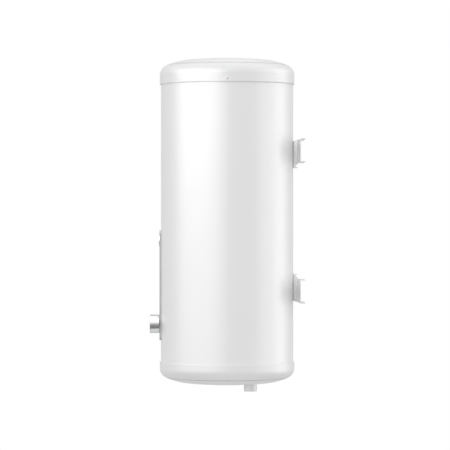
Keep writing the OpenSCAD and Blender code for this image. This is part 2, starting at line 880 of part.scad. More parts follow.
module thermostat_screws() {
    head_h = 1.8;
    color("silver") at_thermostat_screws() {
        cyl_y(strip_face_y - head_h, strip_face_y, 2 * thermostat_screw_r);
        cyl_y(strip_face_y - head_h / 2, strip_face_y + strip_t + thermostat_screw_len,
              thermostat_screw_r);
    }
}

module pilot_lens() {
    color("orange") translate([0, 0, lamp_z])
        cyl_y(strip_face_y - 0.9, strip_face_y + strip_t, lamp_r);
}

module pilot_body() {
    back_y = strip_face_y + strip_t;
    color("ivory") translate([0, 0, lamp_z]) cyl_y(back_y, back_y + lamp_body_depth, lamp_body_r);
}

// ---- Thermometer ----

module gauge_case() {
    color("gainsboro") translate([0, 0, gauge_z]) difference() {
        union() {
            cyl_y(gauge_front_y, gauge_back_y, gauge_case_r);
            cyl_y(gauge_back_y - slack, gauge_back_y + gauge_boss_depth, gauge_boss_r);
        }
        cyl_y(gauge_front_y - slack, gauge_floor_y, gauge_case_r - gauge_case_wall);
        cyl_y(gauge_front_y, gauge_back_y + gauge_pin_in, gauge_pin_r);
    }
}

module gauge_bezel() {
    lip_t = 0.8;
    color("silver") translate([0, 0, gauge_z]) turned_y(strip_face_y) difference() {
        square([gauge_d / 2, gauge_lip]);
        translate([-slack, -slack])
            square([gauge_case_r + fit + slack, gauge_lip - lip_t + slack]);
        square([gauge_case_r - gauge_case_wall, 2 * gauge_lip]);
        translate([gauge_d / 2, gauge_lip]) corner_cut(1.5 * lip_t);
    }
}

module gauge_lens() {
    color("lightcyan", 0.4) translate([0, 0, gauge_z])
        cyl_y(gauge_front_y - gauge_lens_t, gauge_front_y, gauge_case_r - fit / 2);
}

module gauge_dial() {
    color("white") translate([0, 0, gauge_z]) difference() {
        cyl_y(gauge_floor_y - dial_t, gauge_floor_y, gauge_case_r - gauge_case_wall - fit);
        cyl_y(gauge_floor_y - 2 * dial_t, gauge_floor_y + slack, 1.5 * gauge_pin_r);
    }
}

module gauge_pin() {
    head_t = 0.5;
    color("gray") translate([0, 0, gauge_z]) {
        cyl_y(gauge_back_y - gauge_pin_out, gauge_back_y + gauge_pin_in, gauge_pin_r);
        cyl_y(gauge_back_y - gauge_pin_out - head_t, gauge_back_y - gauge_pin_out,
              2 * gauge_pin_r);
    }
}

// At rest the needle stands a quarter of the way along its scale
module gauge_needle() {
    back_y = gauge_floor_y - needle_gap;
    color("red") translate([0, 0, gauge_z]) rotate([0, gauge_needle_rest, 0]) difference() {
        union() {
            cyl_y(back_y - needle_hub_h, back_y, needle_hub_r);
            translate([0, back_y - needle_hub_h / 2, 0]) rotate([90, 0, 0]) linear_extrude(0.6)
                polygon([[-2.2, -8], [2.2, -8], [1.2, 0], [0.25, 15], [-0.25, 15], [-1.2, 0]]);
        }
        cyl_y(back_y - 2 * needle_hub_h, back_y + slack, gauge_pin_r + turn_fit);
    }
}

// ---- Water connections ----

module socket(side) {
    mouth_z = -collar_drop + mouth_recess;
    top_z = tank_bottom_z + 28;
    color("silver") at_port(side) difference() {
        translate([0, 0, mouth_z]) cylinder(r = socket_r, h = top_z - mouth_z);
        translate([0, 0, mouth_z - slack]) cylinder(r = thread_r, h = thread_depth + slack);
        translate([0, 0, mouth_z]) cylinder(r = socket_passage_r, h = top_z - mouth_z + slack);
    }
}

module cold_socket() {
    socket(1);
}

module hot_socket() {
    socket(-1);
}

// Collar round a socket: its neck goes up through the bottom cap and holds the nut
module collar(side) {
    top_z = nut_z + collar_above_nut;
    color("white") difference() {
        at_port(side) translate([0, 0, -collar_drop]) rotate_extrude() difference() {
            square([collar_wall_r, collar_drop + top_z]);
            translate([-slack, -slack])
                square([socket_r + fit + slack, collar_drop + top_z + 2 * slack]);
            translate([collar_wall_r, 0]) mirror([0, 1]) corner_cut(2.5);
            translate([ring_groove_r, -slack]) square([ring_groove_w, ring_groove_depth + slack]);
        }
        // From the cap's face upwards it is only as wide as the cap's hole
        intersection() {
            at_port(side) translate([0, 0, -slack])
                ring(2 * collar_wall_r, collar_neck_r, top_z + 2 * slack);
            translate([0, 0, -fit / 2]) at_bottom_cap() rotate_extrude()
                cap_region(bottom_skirt_h, 0);
        }
    }
}

module cold_collar() {
    collar(1);
}

module hot_collar() {
    collar(-1);
}

module collar_nuts() {
    color("gainsboro") at_ports() translate([0, 0, nut_z]) ring(nut_r, collar_neck_r + fit / 2, nut_t);
}

module port_ring(side) {
    at_port(side) translate([0, 0, -collar_drop])
        ring(ring_groove_r + ring_groove_w - fit / 2, ring_groove_r + fit / 2,
             ring_groove_depth - fit / 2);
}

module cold_ring() {
    color("blue") port_ring(1);
}

module hot_ring() {
    color("red") port_ring(-1);
}

module water_pipe(side, top_z) {
    at_port(side) translate([0, 0, tank_bottom_z - 5])
        ring(pipe_r, pipe_bore_r, top_z - tank_bottom_z + 5);
}

module cold_dip_pipe() {
    color("gainsboro") water_pipe(1, tank_bottom_z + 60);
}

module cold_diffuser() {
    hole_r = 1.8;
    color("gainsboro") at_port(1) translate([0, 0, diffuser_z]) difference() {
        cylinder(r = diffuser_r, h = diffuser_h);
        translate([0, 0, -slack]) cylinder(r = pipe_r + fit / 2, h = 16 + slack);
        cylinder(r = pipe_bore_r, h = diffuser_h - 3);
        for (a = [0, 60, 120])
            rotate([0, 0, a]) translate([-2 * diffuser_r, 0, diffuser_h - 3 * hole_r])
                rotate([0, 90, 0]) cylinder(r = hole_r, h = 4 * diffuser_r);
    }
}

module hot_pipe() {
    color("silver") water_pipe(-1, tank_top_z - 40);
}

// ---- Flange group ----

module flange_gasket() {
    color("black") difference() {
        translate([0, 0, flange_top_z])
            ring(flange_d / 2 - slack, neck_bore_r - 8, gasket_t);
        at_studs() translate([0, 0, flange_top_z - slack])
            cylinder(r = stud_r + fit, h = gasket_t + 2 * slack);
    }
}

module flange_plate() {
    hole_h = flange_t + 2 * slack;
    color("silver") difference() {
        translate([0, 0, flange_bottom_z]) cylinder(r = flange_d / 2, h = flange_t);
        translate([0, 0, flange_bottom_z - slack]) {
            at_studs() cylinder(r = stud_r + 0.5, h = hole_h);
            for (side = [-1, 1])
                translate([side * element_x, element_y, 0])
                    cylinder(r = element_r + turn_fit, h = hole_h);
            translate([0, anode_y, 0]) cylinder(r = anode_thread_r + fit, h = hole_h);
            translate([0, sheath_y, 0]) cylinder(r = sheath_r + turn_fit, h = hole_h);
        }
    }
}

module flange_studs() {
    color("silver") at_studs() translate([0, 0, flange_bottom_z - nut_h - stud_out])
        cylinder(r = stud_r, h = nut_h + stud_out + stud_in);
}

module flange_nuts() {
    color("silver") at_studs() translate([0, 0, flange_bottom_z - nut_h]) difference() {
        hexagon_prism(nut_across, nut_h);
        translate([0, 0, -slack]) cylinder(r = stud_r + turn_fit, h = nut_h + 2 * slack);
    }
}

module heating_element() {
    legs_z = flange_bottom_z - element_out;
    bend_z = flange_top_z + element_h;
    color("gray") {
        for (side = [-1, 1])
            translate([side * element_x, element_y, legs_z])
                cylinder(r = element_r, h = bend_z - legs_z);
        translate([0, element_y, bend_z]) rotate([90, 0, 0])
            rotate_extrude(angle = 180) translate([element_x, 0]) circle(r = element_r);
    }
}

module element_terminals() {
    color("goldenrod") for (side = [-1, 1])
        translate([side * element_x, element_y, pin_bottom_z])
            cylinder(r = pin_r, h = flange_bottom_z - element_out - pin_bottom_z);
}

module anode_rod() {
    bottom_z = flange_top_z + 5;
    thread_z = flange_bottom_z - anode_nut_h - 2;
    color("darkgray") translate([0, anode_y, 0]) {
        translate([0, 0, bottom_z]) cylinder(r = anode_r, h = anode_len);
        translate([0, 0, thread_z]) cylinder(r = anode_thread_r, h = bottom_z - thread_z + slack);
    }
}

module anode_nut() {
    color("silver") translate([0, anode_y, flange_bottom_z - anode_nut_h]) difference() {
        hexagon_prism(nut_across, anode_nut_h);
        translate([0, 0, -slack])
            cylinder(r = anode_thread_r + turn_fit, h = anode_nut_h + 2 * slack);
    }
}

module sensor_sheath() {
    color("peru") translate([0, sheath_y, sheath_mouth_z]) difference() {
        cylinder(r = sheath_r, h = sheath_h);
        translate([0, 0, -slack]) cylinder(r = sheath_bore_r, h = sheath_h - slack / 2);
    }
}

module sensing_bulbs() {
    color("goldenrod") for (side = [-1, 1])
        translate([side * bulb_x, sheath_y, bulb_bottom_z]) cylinder(r = bulb_r, h = bulb_len);
}

// Each tube runs from its bulb, out of the sheath, along the channel and up the tray
module capillary_tubes() {
    bulb_z = bulb_bottom_z - end_gap;
    mouth_z = sheath_mouth_z;
    low_z = mouth_z - 5;
    front_x = 3.5;
    gauge_x = 9;
    color("peru") {
        tube_along([[-bulb_x, sheath_y, bulb_z], [-bulb_x, sheath_y, mouth_z + 2],
                    [-1, sheath_y - 8, low_z], [front_x, -90, low_z], [front_x, -150, low_z],
                    [front_x, channel_tube_y + 8, low_z + 12], [front_x, channel_tube_y, low_z + 45],
                    [front_x, channel_tube_y, strip_bottom_z - 4],
                    [front_x, channel_tube_y - 2, strip_bottom_z + 16],
                    [front_x, end_y, knob_z - thermostat_half_h - 6],
                    [front_x, end_y, knob_z - thermostat_half_h - end_gap]], tube_r);
        tube_along([[bulb_x, sheath_y, bulb_z], [bulb_x, sheath_y, mouth_z + 2],
                    [5, sheath_y - 8, low_z], [gauge_x, -90, low_z], [gauge_x, -150, low_z],
                    [gauge_x, channel_tube_y + 8, low_z + 12], [gauge_x, channel_tube_y, low_z + 45],
                    [gauge_x, channel_tube_y, strip_bottom_z - 4],
                    [gauge_x + 2, channel_tube_y - 2, strip_bottom_z + 14],
                    [side_gap_x, end_y, knob_z - thermostat_half_h],
                    [side_gap_x, end_y, knob_z], [side_gap_x, end_y, knob_z + thermostat_half_h],
                    [12, end_y, lamp_z + 12], [6, end_y, gauge_z - 60],
                    [0, end_y, gauge_z - gauge_boss_r - 12],
                    [0, end_y, gauge_z - gauge_boss_r - end_gap]], tube_r);
    }
}

// ---- Cut-out, terminal block and wires ----

module cutout_body() {
    color("ivory") difference() {
        translate([-cutout_half_w, element_y - cutout_half_d, cutout_bottom_z])
            cube([2 * cutout_half_w, 2 * cutout_half_d, cutout_h]);
        for (side = [-1, 1])
            translate([side * element_x, element_y, pin_bottom_z - slack / 2])
                cylinder(r = pin_r + fit / 2, h = cutout_h);
        translate([0, element_y, cutout_bottom_z - slack])
            cylinder(r = button_r + turn_fit, h = button_bore_depth + slack);
    }
}

module reset_button() {
    color("red") translate([0, element_y, cutout_bottom_z - button_out])
        cylinder(r = button_r, h = button_out + button_bore_depth - button_travel - slack / 2);
}

module terminal_block() {
    color("ivory") difference() {
        translate([-block_half_w, block_y - block_half_d, block_bottom_z])
            cube([2 * block_half_w, 2 * block_half_d, block_h]);
        for (x = [neutral_x, 0, earth_x], side = [-1, 1])
            translate([x, block_y + side * block_half_d / 2, block_bottom_z + block_h - clamp_depth])
                cylinder(r = clamp_r, h = 2 * clamp_depth);
    }
}

// A wire from the terminal block's back to one side of the cut-out
module cutout_wire(x, side) {
    back_y = block_y + block_half_d;
    front_y = element_y - cutout_half_d;
    tube_along([[x, back_y + end_gap, wire_z], [x, back_y + 7, wire_z],
                [side * 26, back_y + 28, wire_z + 2], [side * 22, front_y - 8, cutout_top_z - 8],
                [side * 22, front_y - end_gap, cutout_top_z - 8]], wire_r);
}

// The way from the terminal block's front into the channel, up to the tray
function riser(x, channel_x) =
    let (front_y = block_y - block_half_d)
    [[x, front_y - end_gap, wire_z], [x, front_y - 7, wire_z],
     [channel_x, channel_wire_y + 28, wire_z + 8], [channel_x, channel_wire_y + 4, wire_z + 36],
     [channel_x, channel_wire_y, wire_z + 62], [channel_x, channel_wire_y, strip_bottom_z - 4]];

module live_wires() {
    color("saddlebrown") {
        cutout_wire(0, 1);
        tube_along(concat(riser(0, -3),
            [[-3, end_y, knob_z - thermostat_half_h - 12],
             [-3, end_y, knob_z - thermostat_half_h - end_gap]]), wire_r);
        tube_along([[5, end_y, knob_z + thermostat_half_h + end_gap],
                    [5, end_y, knob_z + thermostat_half_h + 7], [3, end_y + 8, lamp_z - 8],
                    [2.2, lamp_back_y + 6, lamp_z], [2.2, lamp_back_y + end_gap, lamp_z]], wire_r);
    }
}

module neutral_wires() {
    color("royalblue") {
        cutout_wire(neutral_x, -1);
        tube_along(concat(riser(neutral_x, -9),
            [[-10, channel_wire_y, strip_bottom_z + 14],
             [-side_gap_x, end_y, knob_z - thermostat_half_h],
             [-side_gap_x, end_y, knob_z], [-side_gap_x, end_y, knob_z + thermostat_half_h],
             [-6, end_y + 8, lamp_z - 10], [-2.2, lamp_back_y + 6, lamp_z],
             [-2.2, lamp_back_y + end_gap, lamp_z]]), wire_r);
    }
}

// The earth wire ends under the nearest stud of the flange
module earth_wire() {
    stud_a = 90 + 360 * floor(stud_count * 0.75) / stud_count;
    end = polar([0, 0], stud_circle_r, stud_a);
    stud_bottom_z = flange_bottom_z - nut_h - stud_out;
    color("yellowgreen")
        tube_along([[earth_x, block_y + block_half_d + end_gap, wire_z],
                    [earth_x, block_y + block_half_d + 7, wire_z],
                    [40, -70, wire_z + 2], [end[0], end[1] - 6, stud_bottom_z - 8],
                    [end[0], end[1], stud_bottom_z - 4],
                    [end[0], end[1], stud_bottom_z - end_gap]], wire_r);
}

module cable_grommet() {
    rim_t = 2.2;
    color("dimgray") translate([grommet_x, grommet_y, grommet_wall_z - grommet_groove]) difference() {
        union() {
            translate([0, 0, -rim_t]) cylinder(r = grommet_rim_r, h = rim_t);
            translate([0, 0, -slack]) cylinder(r = grommet_neck_r, h = 2 * (grommet_groove + slack));
            translate([0, 0, 2 * grommet_groove]) cylinder(r = 0.9 * grommet_rim_r, h = 3);
        }
        translate([0, 0, -through_h]) cylinder(r = grommet_bore_r, h = 2 * through_h);
    }
}

// ---- Nodes ----

hung() casing();
hung() top_cap();
hung() bottom_cap();
hung() cap_screws();
hung() foam_insulation();
hung() inner_tank();
hung() upper_bracket();
hung() lower_bracket();
hung() upper_saddle();
hung() lower_saddle();
hung() bracket_bolts();
hung() bracket_washers();
hung() control_strip();
hung() strip_tray();
hung() knob();
hung() knob_index();
hung() thermostat_shaft();
hung() thermostat_body();
hung() thermostat_screws();
hung() pilot_lens();
hung() pilot_body();
hung() gauge_case();
hung() gauge_bezel();
hung() gauge_dial();
hung() gauge_pin();
hung() gauge_needle();
hung() gauge_lens();
hung() cold_socket();
hung() hot_socket();
hung() cold_collar();
hung() hot_collar();
hung() collar_nuts();
hung() cold_ring();
hung() hot_ring();
hung() cold_dip_pipe();
hung() cold_diffuser();
hung() hot_pipe();
hung() flange_plate();
hung() flange_gasket();
hung() flange_studs();
hung() flange_nuts();
hung() heating_element();
hung() element_terminals();
hung() anode_rod();
hung() anode_nut();
hung() sensor_sheath();
hung() sensing_bulbs();
hung() capillary_tubes();
hung() cutout_body();
hung() reset_button();
hung() terminal_block();
hung() live_wires();
hung() neutral_wires();
hung() earth_wire();
hung() service_cover();
hung() cover_screws();
hung() cable_grommet();
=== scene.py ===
"""Looks of a wall-hung electric storage water heater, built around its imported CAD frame.

Everything is in metres in the CAD frame: +Z up, the wall along +Y, the control strip along -Y.
Hidden inner pieces keep their CAD meshes; what shows gets finer meshes with rounded edges.
"""
import json
import math

import bmesh
import bpy
from mathutils import Matrix, Vector


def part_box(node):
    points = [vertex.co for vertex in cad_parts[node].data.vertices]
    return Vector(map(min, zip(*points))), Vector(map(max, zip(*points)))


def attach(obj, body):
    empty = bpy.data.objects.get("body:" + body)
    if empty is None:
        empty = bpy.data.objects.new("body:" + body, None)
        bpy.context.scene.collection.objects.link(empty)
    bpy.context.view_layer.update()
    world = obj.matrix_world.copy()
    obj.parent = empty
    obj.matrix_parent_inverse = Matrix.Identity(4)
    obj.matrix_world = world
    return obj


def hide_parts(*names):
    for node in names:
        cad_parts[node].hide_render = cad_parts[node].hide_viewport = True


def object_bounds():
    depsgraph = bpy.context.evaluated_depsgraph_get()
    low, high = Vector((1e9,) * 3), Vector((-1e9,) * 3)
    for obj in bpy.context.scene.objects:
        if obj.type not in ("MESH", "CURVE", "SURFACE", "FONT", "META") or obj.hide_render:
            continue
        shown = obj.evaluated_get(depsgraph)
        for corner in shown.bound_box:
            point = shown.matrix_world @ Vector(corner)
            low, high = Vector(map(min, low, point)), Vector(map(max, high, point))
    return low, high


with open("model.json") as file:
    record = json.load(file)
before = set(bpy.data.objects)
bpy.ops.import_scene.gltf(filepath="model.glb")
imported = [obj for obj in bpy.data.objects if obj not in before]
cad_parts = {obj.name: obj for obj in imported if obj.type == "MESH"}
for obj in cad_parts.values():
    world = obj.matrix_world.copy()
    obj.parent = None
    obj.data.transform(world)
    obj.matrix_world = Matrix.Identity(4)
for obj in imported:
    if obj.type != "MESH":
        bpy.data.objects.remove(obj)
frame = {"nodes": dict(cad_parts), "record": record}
CAD_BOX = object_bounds()
NODES = frame["nodes"]
MM = 0.001
AXIS_UP = Matrix.Identity(3)
AXIS_FRONT = Matrix.Rotation(math.radians(90), 3, "X")


def box_centre(node):
    low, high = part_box(node)
    return (low + high) / 2


TANK_AXIS = box_centre("casing")
CASING_R = (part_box("casing")[1].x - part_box("casing")[0].x) / 2
# The groove round each dome: its radius, how far its shade reaches and how dark it is
GROOVE_R = 203.96 * MM
GROOVE_HALF_W = 1.8 * MM
GROOVE_SHADE = 0.68

# ---------------------------------------------------------------- view, floor and light

# The camera looks along -X. Its offsets from the heater's middle set where the picture is cut.
VIEW_DISTANCE = 9.2
VIEW_LENS = 220
VIEW_SENSOR_W = 36
VIEW_CLIP_END = 60
VIEW_OFFSET_Y = -0.007
VIEW_OFFSET_Z = -0.0015
FLOOR_DROP = 1.0
FLOOR_R = 0.75
FLOOR_T = 0.01
# Studio grey by the direction's height: (share from -1, straight down, to 1, straight up; level)
SKY_FOR_GLOSS = [(-1.0, 0.15), (-0.45, 0.18), (-0.3, 0.22), (-0.12, 0.32), (0.07, 0.50),
                 (0.27, 0.78), (0.45, 1.0), (1.0, 1.0)]
SKY_FOR_DIFFUSE = [(-1.0, 0.45), (0.0, 0.80), (1.0, 1.0)]
GLOSS_LEVEL = 1.35
DIFFUSE_LEVEL = 1.17
# Reflections of the far side, -X, see one even grey, which turns into the sky between these shares
FAR_SIDE = (-0.62, -0.25)
FAR_LEVEL = 0.47
# Panels that only give reflections: name, azimuth, elevation, distance, width, height, watts.
# Azimuth 0 is +X, the camera's side, and 90 is +Y, the wall's side.
PANELS = [("front_softbox", -50, 22, 2.2, 3.6, 1.7, 77),
          ("front_low_softbox", -50, -13, 2.2, 3.6, 0.7, 14),
          ("wall_softbox", 99, 4, 2.2, 1.3, 3.0, 28),
          ("wall_fill_softbox", 66, 4, 2.2, 0.8, 3.0, 10),
          ("rear_top_softbox", 176, 56, 2.4, 0.7, 0.7, 1)]
# The same for the fills that light only the recesses behind the brackets
BRACKET_FILLS = [("fill_right", -16, 4, 2.2, 1.0, 1.0, 5),
                 ("fill_left", 196, 4, 2.2, 1.0, 1.0, 5)]


def make_camera():
    data = bpy.data.cameras.new("camera")
    data.lens = VIEW_LENS
    data.sensor_width = VIEW_SENSOR_W
    data.clip_end = VIEW_CLIP_END
    camera = bpy.data.objects.new("camera", data)
    middle = (CAD_BOX[0] + CAD_BOX[1]) / 2
    camera.location = (VIEW_DISTANCE, TANK_AXIS.y + VIEW_OFFSET_Y, middle.z + VIEW_OFFSET_Z)
    camera.rotation_euler = (math.radians(90), 0, math.radians(90))
    bpy.context.scene.collection.objects.link(camera)
    bpy.context.scene.camera = camera


def make_world():
    """White for the camera; greys that rise with height for reflections and for soft light."""
    world = bpy.data.worlds.new("studio")
    bpy.context.scene.world = world
    world.use_nodes = True
    tree = world.node_tree
    tree.nodes.clear()
    add = tree.nodes.new
    link = tree.links.new
    direction = add("ShaderNodeTexCoord")
    split = add("ShaderNodeSeparateXYZ")
    link(direction.outputs["Generated"], split.inputs[0])
    height = add("ShaderNodeMapRange")
    height.inputs["From Min"].default_value = -1
    link(split.outputs["Z"], height.inputs["Value"])
    near_side = add("ShaderNodeMapRange")
    near_side.inputs["From Min"].default_value = FAR_SIDE[0]
    near_side.inputs["From Max"].default_value = FAR_SIDE[1]
    link(split.outputs["X"], near_side.inputs["Value"])

    def graded(levels, strength, even_far_side):
        ramp = add("ShaderNodeValToRGB")
        while len(ramp.color_ramp.elements) < len(levels):
            ramp.color_ramp.elements.new(0.5)
        for element, (at, level) in zip(ramp.color_ramp.elements, levels):
            element.position = (at + 1) / 2
            element.color = (level, level, level, 1)
        link(height.outputs[0], ramp.inputs[0])
        background = add("ShaderNodeBackground")
        background.inputs["Strength"].default_value = strength
        if even_far_side:
            sides = add("ShaderNodeMix")
            sides.data_type = "RGBA"
            sides.inputs["A"].default_value = (FAR_LEVEL, FAR_LEVEL, FAR_LEVEL, 1)
            link(near_side.outputs[0], sides.inputs["Factor"])
            link(ramp.outputs[0], sides.inputs["B"])
            link(sides.outputs["Result"], background.inputs["Color"])
        else:
            link(ramp.outputs[0], background.inputs["Color"])
        return background

    def chosen(by, first, second):
        mixed = add("ShaderNodeMixShader")
        link(by, mixed.inputs[0])
        link(first.outputs[0], mixed.inputs[1])
        link(second.outputs[0], mixed.inputs[2])
        return mixed

    path = add("ShaderNodeLightPath")
    seen = add("ShaderNodeBackground")
    seen.inputs["Color"].default_value = (1, 1, 1, 1)
    light = chosen(path.outputs["Is Glossy Ray"], graded(SKY_FOR_DIFFUSE, DIFFUSE_LEVEL, False),
                   graded(SKY_FOR_GLOSS, GLOSS_LEVEL, True))
    output = add("ShaderNodeOutputWorld")
    link(chosen(path.outputs["Is Camera Ray"], light, seen).outputs[0], output.inputs[0])


def softbox(name, azimuth, elevation, distance, width, height, power, gloss_only=True):
    """A rectangular area light that looks at the heater's middle."""
    data = bpy.data.lights.new(name, "AREA")
    data.shape = "RECTANGLE"
    data.size = width
    data.size_y = height
    data.energy = power
    lamp = bpy.data.objects.new(name, data)
    target = Vector((TANK_AXIS.x, TANK_AXIS.y, (CAD_BOX[0].z + CAD_BOX[1].z) / 2))
    a, e = math.radians(azimuth), math.radians(elevation)
    away = Vector((math.cos(a) * math.cos(e), math.sin(a) * math.cos(e), math.sin(e)))
    lamp.location = target + distance * away
    lamp.rotation_euler = away.to_track_quat("Z", "Y").to_euler()
    lamp.visible_camera = False
    lamp.visible_diffuse = not gloss_only
    bpy.context.scene.collection.objects.link(lamp)
    return lamp


def flag(lamps, objects, only):
    """Like a flag on a light stand: the lamps light only these objects, or all but these."""
    group = bpy.data.collections.new("lit" if only else "shaded")
    for made in objects:
        group.objects.link(made)
    for member in group.collection_objects:
        member.light_linking.link_state = "INCLUDE" if only else "EXCLUDE"
    for lamp in lamps:
        lamp.light_linking.receiver_collection = group


def make_lights(brackets, silver):
    """The panels stay off the silver pieces, and the fills light only the brackets."""
    flag([softbox(*panel) for panel in PANELS], silver, False)
    flag([softbox(*fill, gloss_only=False) for fill in BRACKET_FILLS], brackets, True)


bpy.context.scene.view_settings.view_transform = "Standard"
make_camera()
make_world()

# ---------------------------------------------------------------- materials


NOISE_ROUGHNESS = 0.55


class Paint:
    """A procedural material: a Principled shader and short ways to wire noise into it."""

    def __init__(self, name, metallic=0.0, coat=0.0, coat_roughness=0.03, ior=1.5):
        self.material = bpy.data.materials.new(name)
        self.material.use_nodes = True
        self.tree = self.material.node_tree
        self.shader = self.tree.nodes["Principled BSDF"]
        self.height = None
        self.place = self.node("ShaderNodeTexCoord").outputs["Object"]
        self.set("Metallic", metallic)
        self.set("Coat Weight", coat)
        self.set("Coat Roughness", coat_roughness)
        self.set("IOR", ior)

    def node(self, kind, **settings):
        made = self.tree.nodes.new(kind)
        for key, value in settings.items():
            setattr(made, key, value)
        return made

    def set(self, socket, value):
        self.shader.inputs[socket].default_value = value

    def link(self, output, socket):
        self.tree.links.new(output, socket)

    def stretched(self, scale):
        """The place with each axis scaled by its own factor."""
        mapping = self.node("ShaderNodeMapping")
        mapping.inputs["Scale"].default_value = scale
        self.link(self.place, mapping.inputs["Vector"])
        return mapping.outputs[0]

    def noise(self, scale, detail=4.0, place=None):
        made = self.node("ShaderNodeTexNoise")
        made.inputs["Scale"].default_value = scale
        made.inputs["Detail"].default_value = detail
        made.inputs["Roughness"].default_value = NOISE_ROUGHNESS
        self.link(place or self.place, made.inputs["Vector"])
        return made.outputs["Fac"]

    def cells(self, scale):
        made = self.node("ShaderNodeTexVoronoi")
        made.inputs["Scale"].default_value = scale
        self.link(self.place, made.inputs["Vector"])
        return made.outputs["Distance"]

    def fitted(self, value, low, high, from_low=0.3, from_high=0.7):
        """Maps a value from one range to another; the default suits noise."""
        made = self.node("ShaderNodeMapRange")
        made.inputs["From Min"].default_value = from_low
        made.inputs["From Max"].default_value = from_high
        made.inputs["To Min"].default_value = low
        made.inputs["To Max"].default_value = high
        self.link(value, made.inputs["Value"])
        return made.outputs[0]

    def tint(self, value, colour_a, colour_b):
        mixed = self.node("ShaderNodeMix", data_type="RGBA")
        mixed.inputs["A"].default_value = (*colour_a, 1)
        mixed.inputs["B"].default_value = (*colour_b, 1)
        self.link(value, mixed.inputs["Factor"])
        self.link(mixed.outputs["Result"], self.shader.inputs["Base Color"])

    def rough(self, value, low, high):
        self.link(self.fitted(value, low, high), self.shader.inputs["Roughness"])

    def bump(self, value, depth, strength=1.0):
        """Adds relief of the given depth in metres; calls stack up."""
        made = self.node("ShaderNodeBump")
        made.inputs["Distance"].default_value = depth
        made.inputs["Strength"].default_value = strength
        self.link(value, made.inputs["Height"])
        if self.height:
            self.link(self.height, made.inputs["Normal"])
        self.height = made.outputs[0]
        self.link(self.height, self.shader.inputs["Normal"])


def shade(colour, factor):
    return tuple(min(1.0, c * factor) for c in colour)


def mottled(name, colour, variation=0.04, scale=60, rough=(0.4, 0.55), grain=(900, 2e-5),
            **options):
    """Finish whose colour and roughness drift a little, with a grain of (scale, depth)."""
    paint = Paint(name, **options)
    drift = paint.fitted(paint.noise(scale), 0, 1)
    paint.tint(drift, shade(colour, 1 - variation), shade(colour, 1 + variation))
    paint.rough(paint.noise(scale * 4, 6), *rough)
    paint.bump(paint.noise(grain[0], 3), grain[1])
    return paint.material


def powder_coat(name, colour, gloss):
    """Baked coating on sheet steel: orange peel, a clear top and faint unevenness."""
    paint = Paint(name, coat=0.8, coat_roughness=gloss, ior=1.5)
    drift = paint.fitted(paint.noise(3.5, 3), 0, 1)
    paint.tint(drift, shade(colour, 0.992), shade(colour, 1.004))
    paint.rough(paint.noise(35, 5), 0.34, 0.42)
    paint.bump(paint.noise(420, 2), 1.2e-5, 0.6)
    paint.bump(paint.noise(2400, 2), 3e-6, 0.5)
    return paint.material


def moulded_white(name, colour, gloss):
    """Glossy moulded plastic: slower ripples than a coating, and a trace of fine texture."""
    paint = Paint(name, coat=0.7, coat_roughness=gloss, ior=1.49)
    paint.set("Subsurface Weight", 0.04)
    paint.set("Subsurface Radius", (0.004, 0.004, 0.004))
    paint.set("Subsurface Scale", 0.5)
    drift = paint.fitted(paint.noise(6, 3), 0, 1)
    paint.tint(drift, shade(colour, 0.99), shade(colour, 1.005))
    paint.rough(paint.noise(50, 5), 0.33, 0.43)
    paint.bump(paint.noise(90, 2), 1.5e-5, 0.5)
    paint.bump(paint.noise(1800, 2), 2.5e-6, 0.5)
    # Painted shade in the groove round each dome
    groove_shadow(paint)
    return paint.material


def groove_shadow(paint):
    """Painted shade along the groove round each dome: darkens the moulding by its distance from the
    axis.
    """
    from_axis = paint.node("ShaderNodeVectorMath", operation="SUBTRACT")
    from_axis.inputs[1].default_value = (TANK_AXIS.x, TANK_AXIS.y, 0)
    paint.link(paint.place, from_axis.inputs[0])
    flat = paint.node("ShaderNodeVectorMath", operation="MULTIPLY")
    flat.inputs[1].default_value = (1, 1, 0)
    paint.link(from_axis.outputs[0], flat.inputs[0])
    radius = paint.node("ShaderNodeVectorMath", operation="LENGTH")
    paint.link(flat.outputs[0], radius.inputs[0])
    away = paint.node("ShaderNodeMath", operation="SUBTRACT")
    away.inputs[1].default_value = GROOVE_R
    paint.link(radius.outputs["Value"], away.inputs[0])
    distance = paint.node("ShaderNodeMath", operation="ABSOLUTE")
    paint.link(away.outputs[0], distance.inputs[0])
    kept = paint.fitted(distance.outputs[0], GROOVE_SHADE, 1, GROOVE_HALF_W, 2 * GROOVE_HALF_W)
    darker = paint.node("ShaderNodeMix", data_type="RGBA", blend_type="MULTIPLY")
    darker.inputs["Factor"].default_value = 1
    before = paint.shader.inputs["Base Color"].links[0].from_socket
    paint.link(before, darker.inputs["A"])
    paint.link(kept, darker.inputs["B"])
    paint.link(darker.outputs["Result"], paint.shader.inputs["Base Color"])


def brushed(name, colour, along, rough=(0.22, 0.34), coarse=60, fine=2600, anisotropy=0.3):
    """Metal with brush lines along one axis, given as 0, 1 or 2."""
    paint = Paint(name, metallic=1.0)
    paint.set("Anisotropic", anisotropy)
    scale = [fine, fine, fine]
    scale[along] = coarse
    lines = paint.noise(1, 4, paint.stretched(scale))
    paint.tint(paint.fitted(lines, 0, 1), shade(colour, 0.93), shade(colour, 1.04))
    paint.rough(lines, *rough)
    paint.bump(lines, 4e-6, 0.6)
    return paint.material


def silver_paint(name, colour):
    """Metallic paint on plastic: fine flakes under a clear satin coat."""
    paint = Paint(name, metallic=0.35, coat=0.2, coat_roughness=0.3)
    flake = paint.cells(6500)
    paint.tint(paint.fitted(flake, 0, 1, 0.1, 0.6), shade(colour, 1.02), shade(colour, 0.97))
    paint.rough(paint.noise(700, 4), 0.38, 0.46)
    paint.bump(paint.noise(3000, 2), 2e-6, 0.4)
    return paint.material


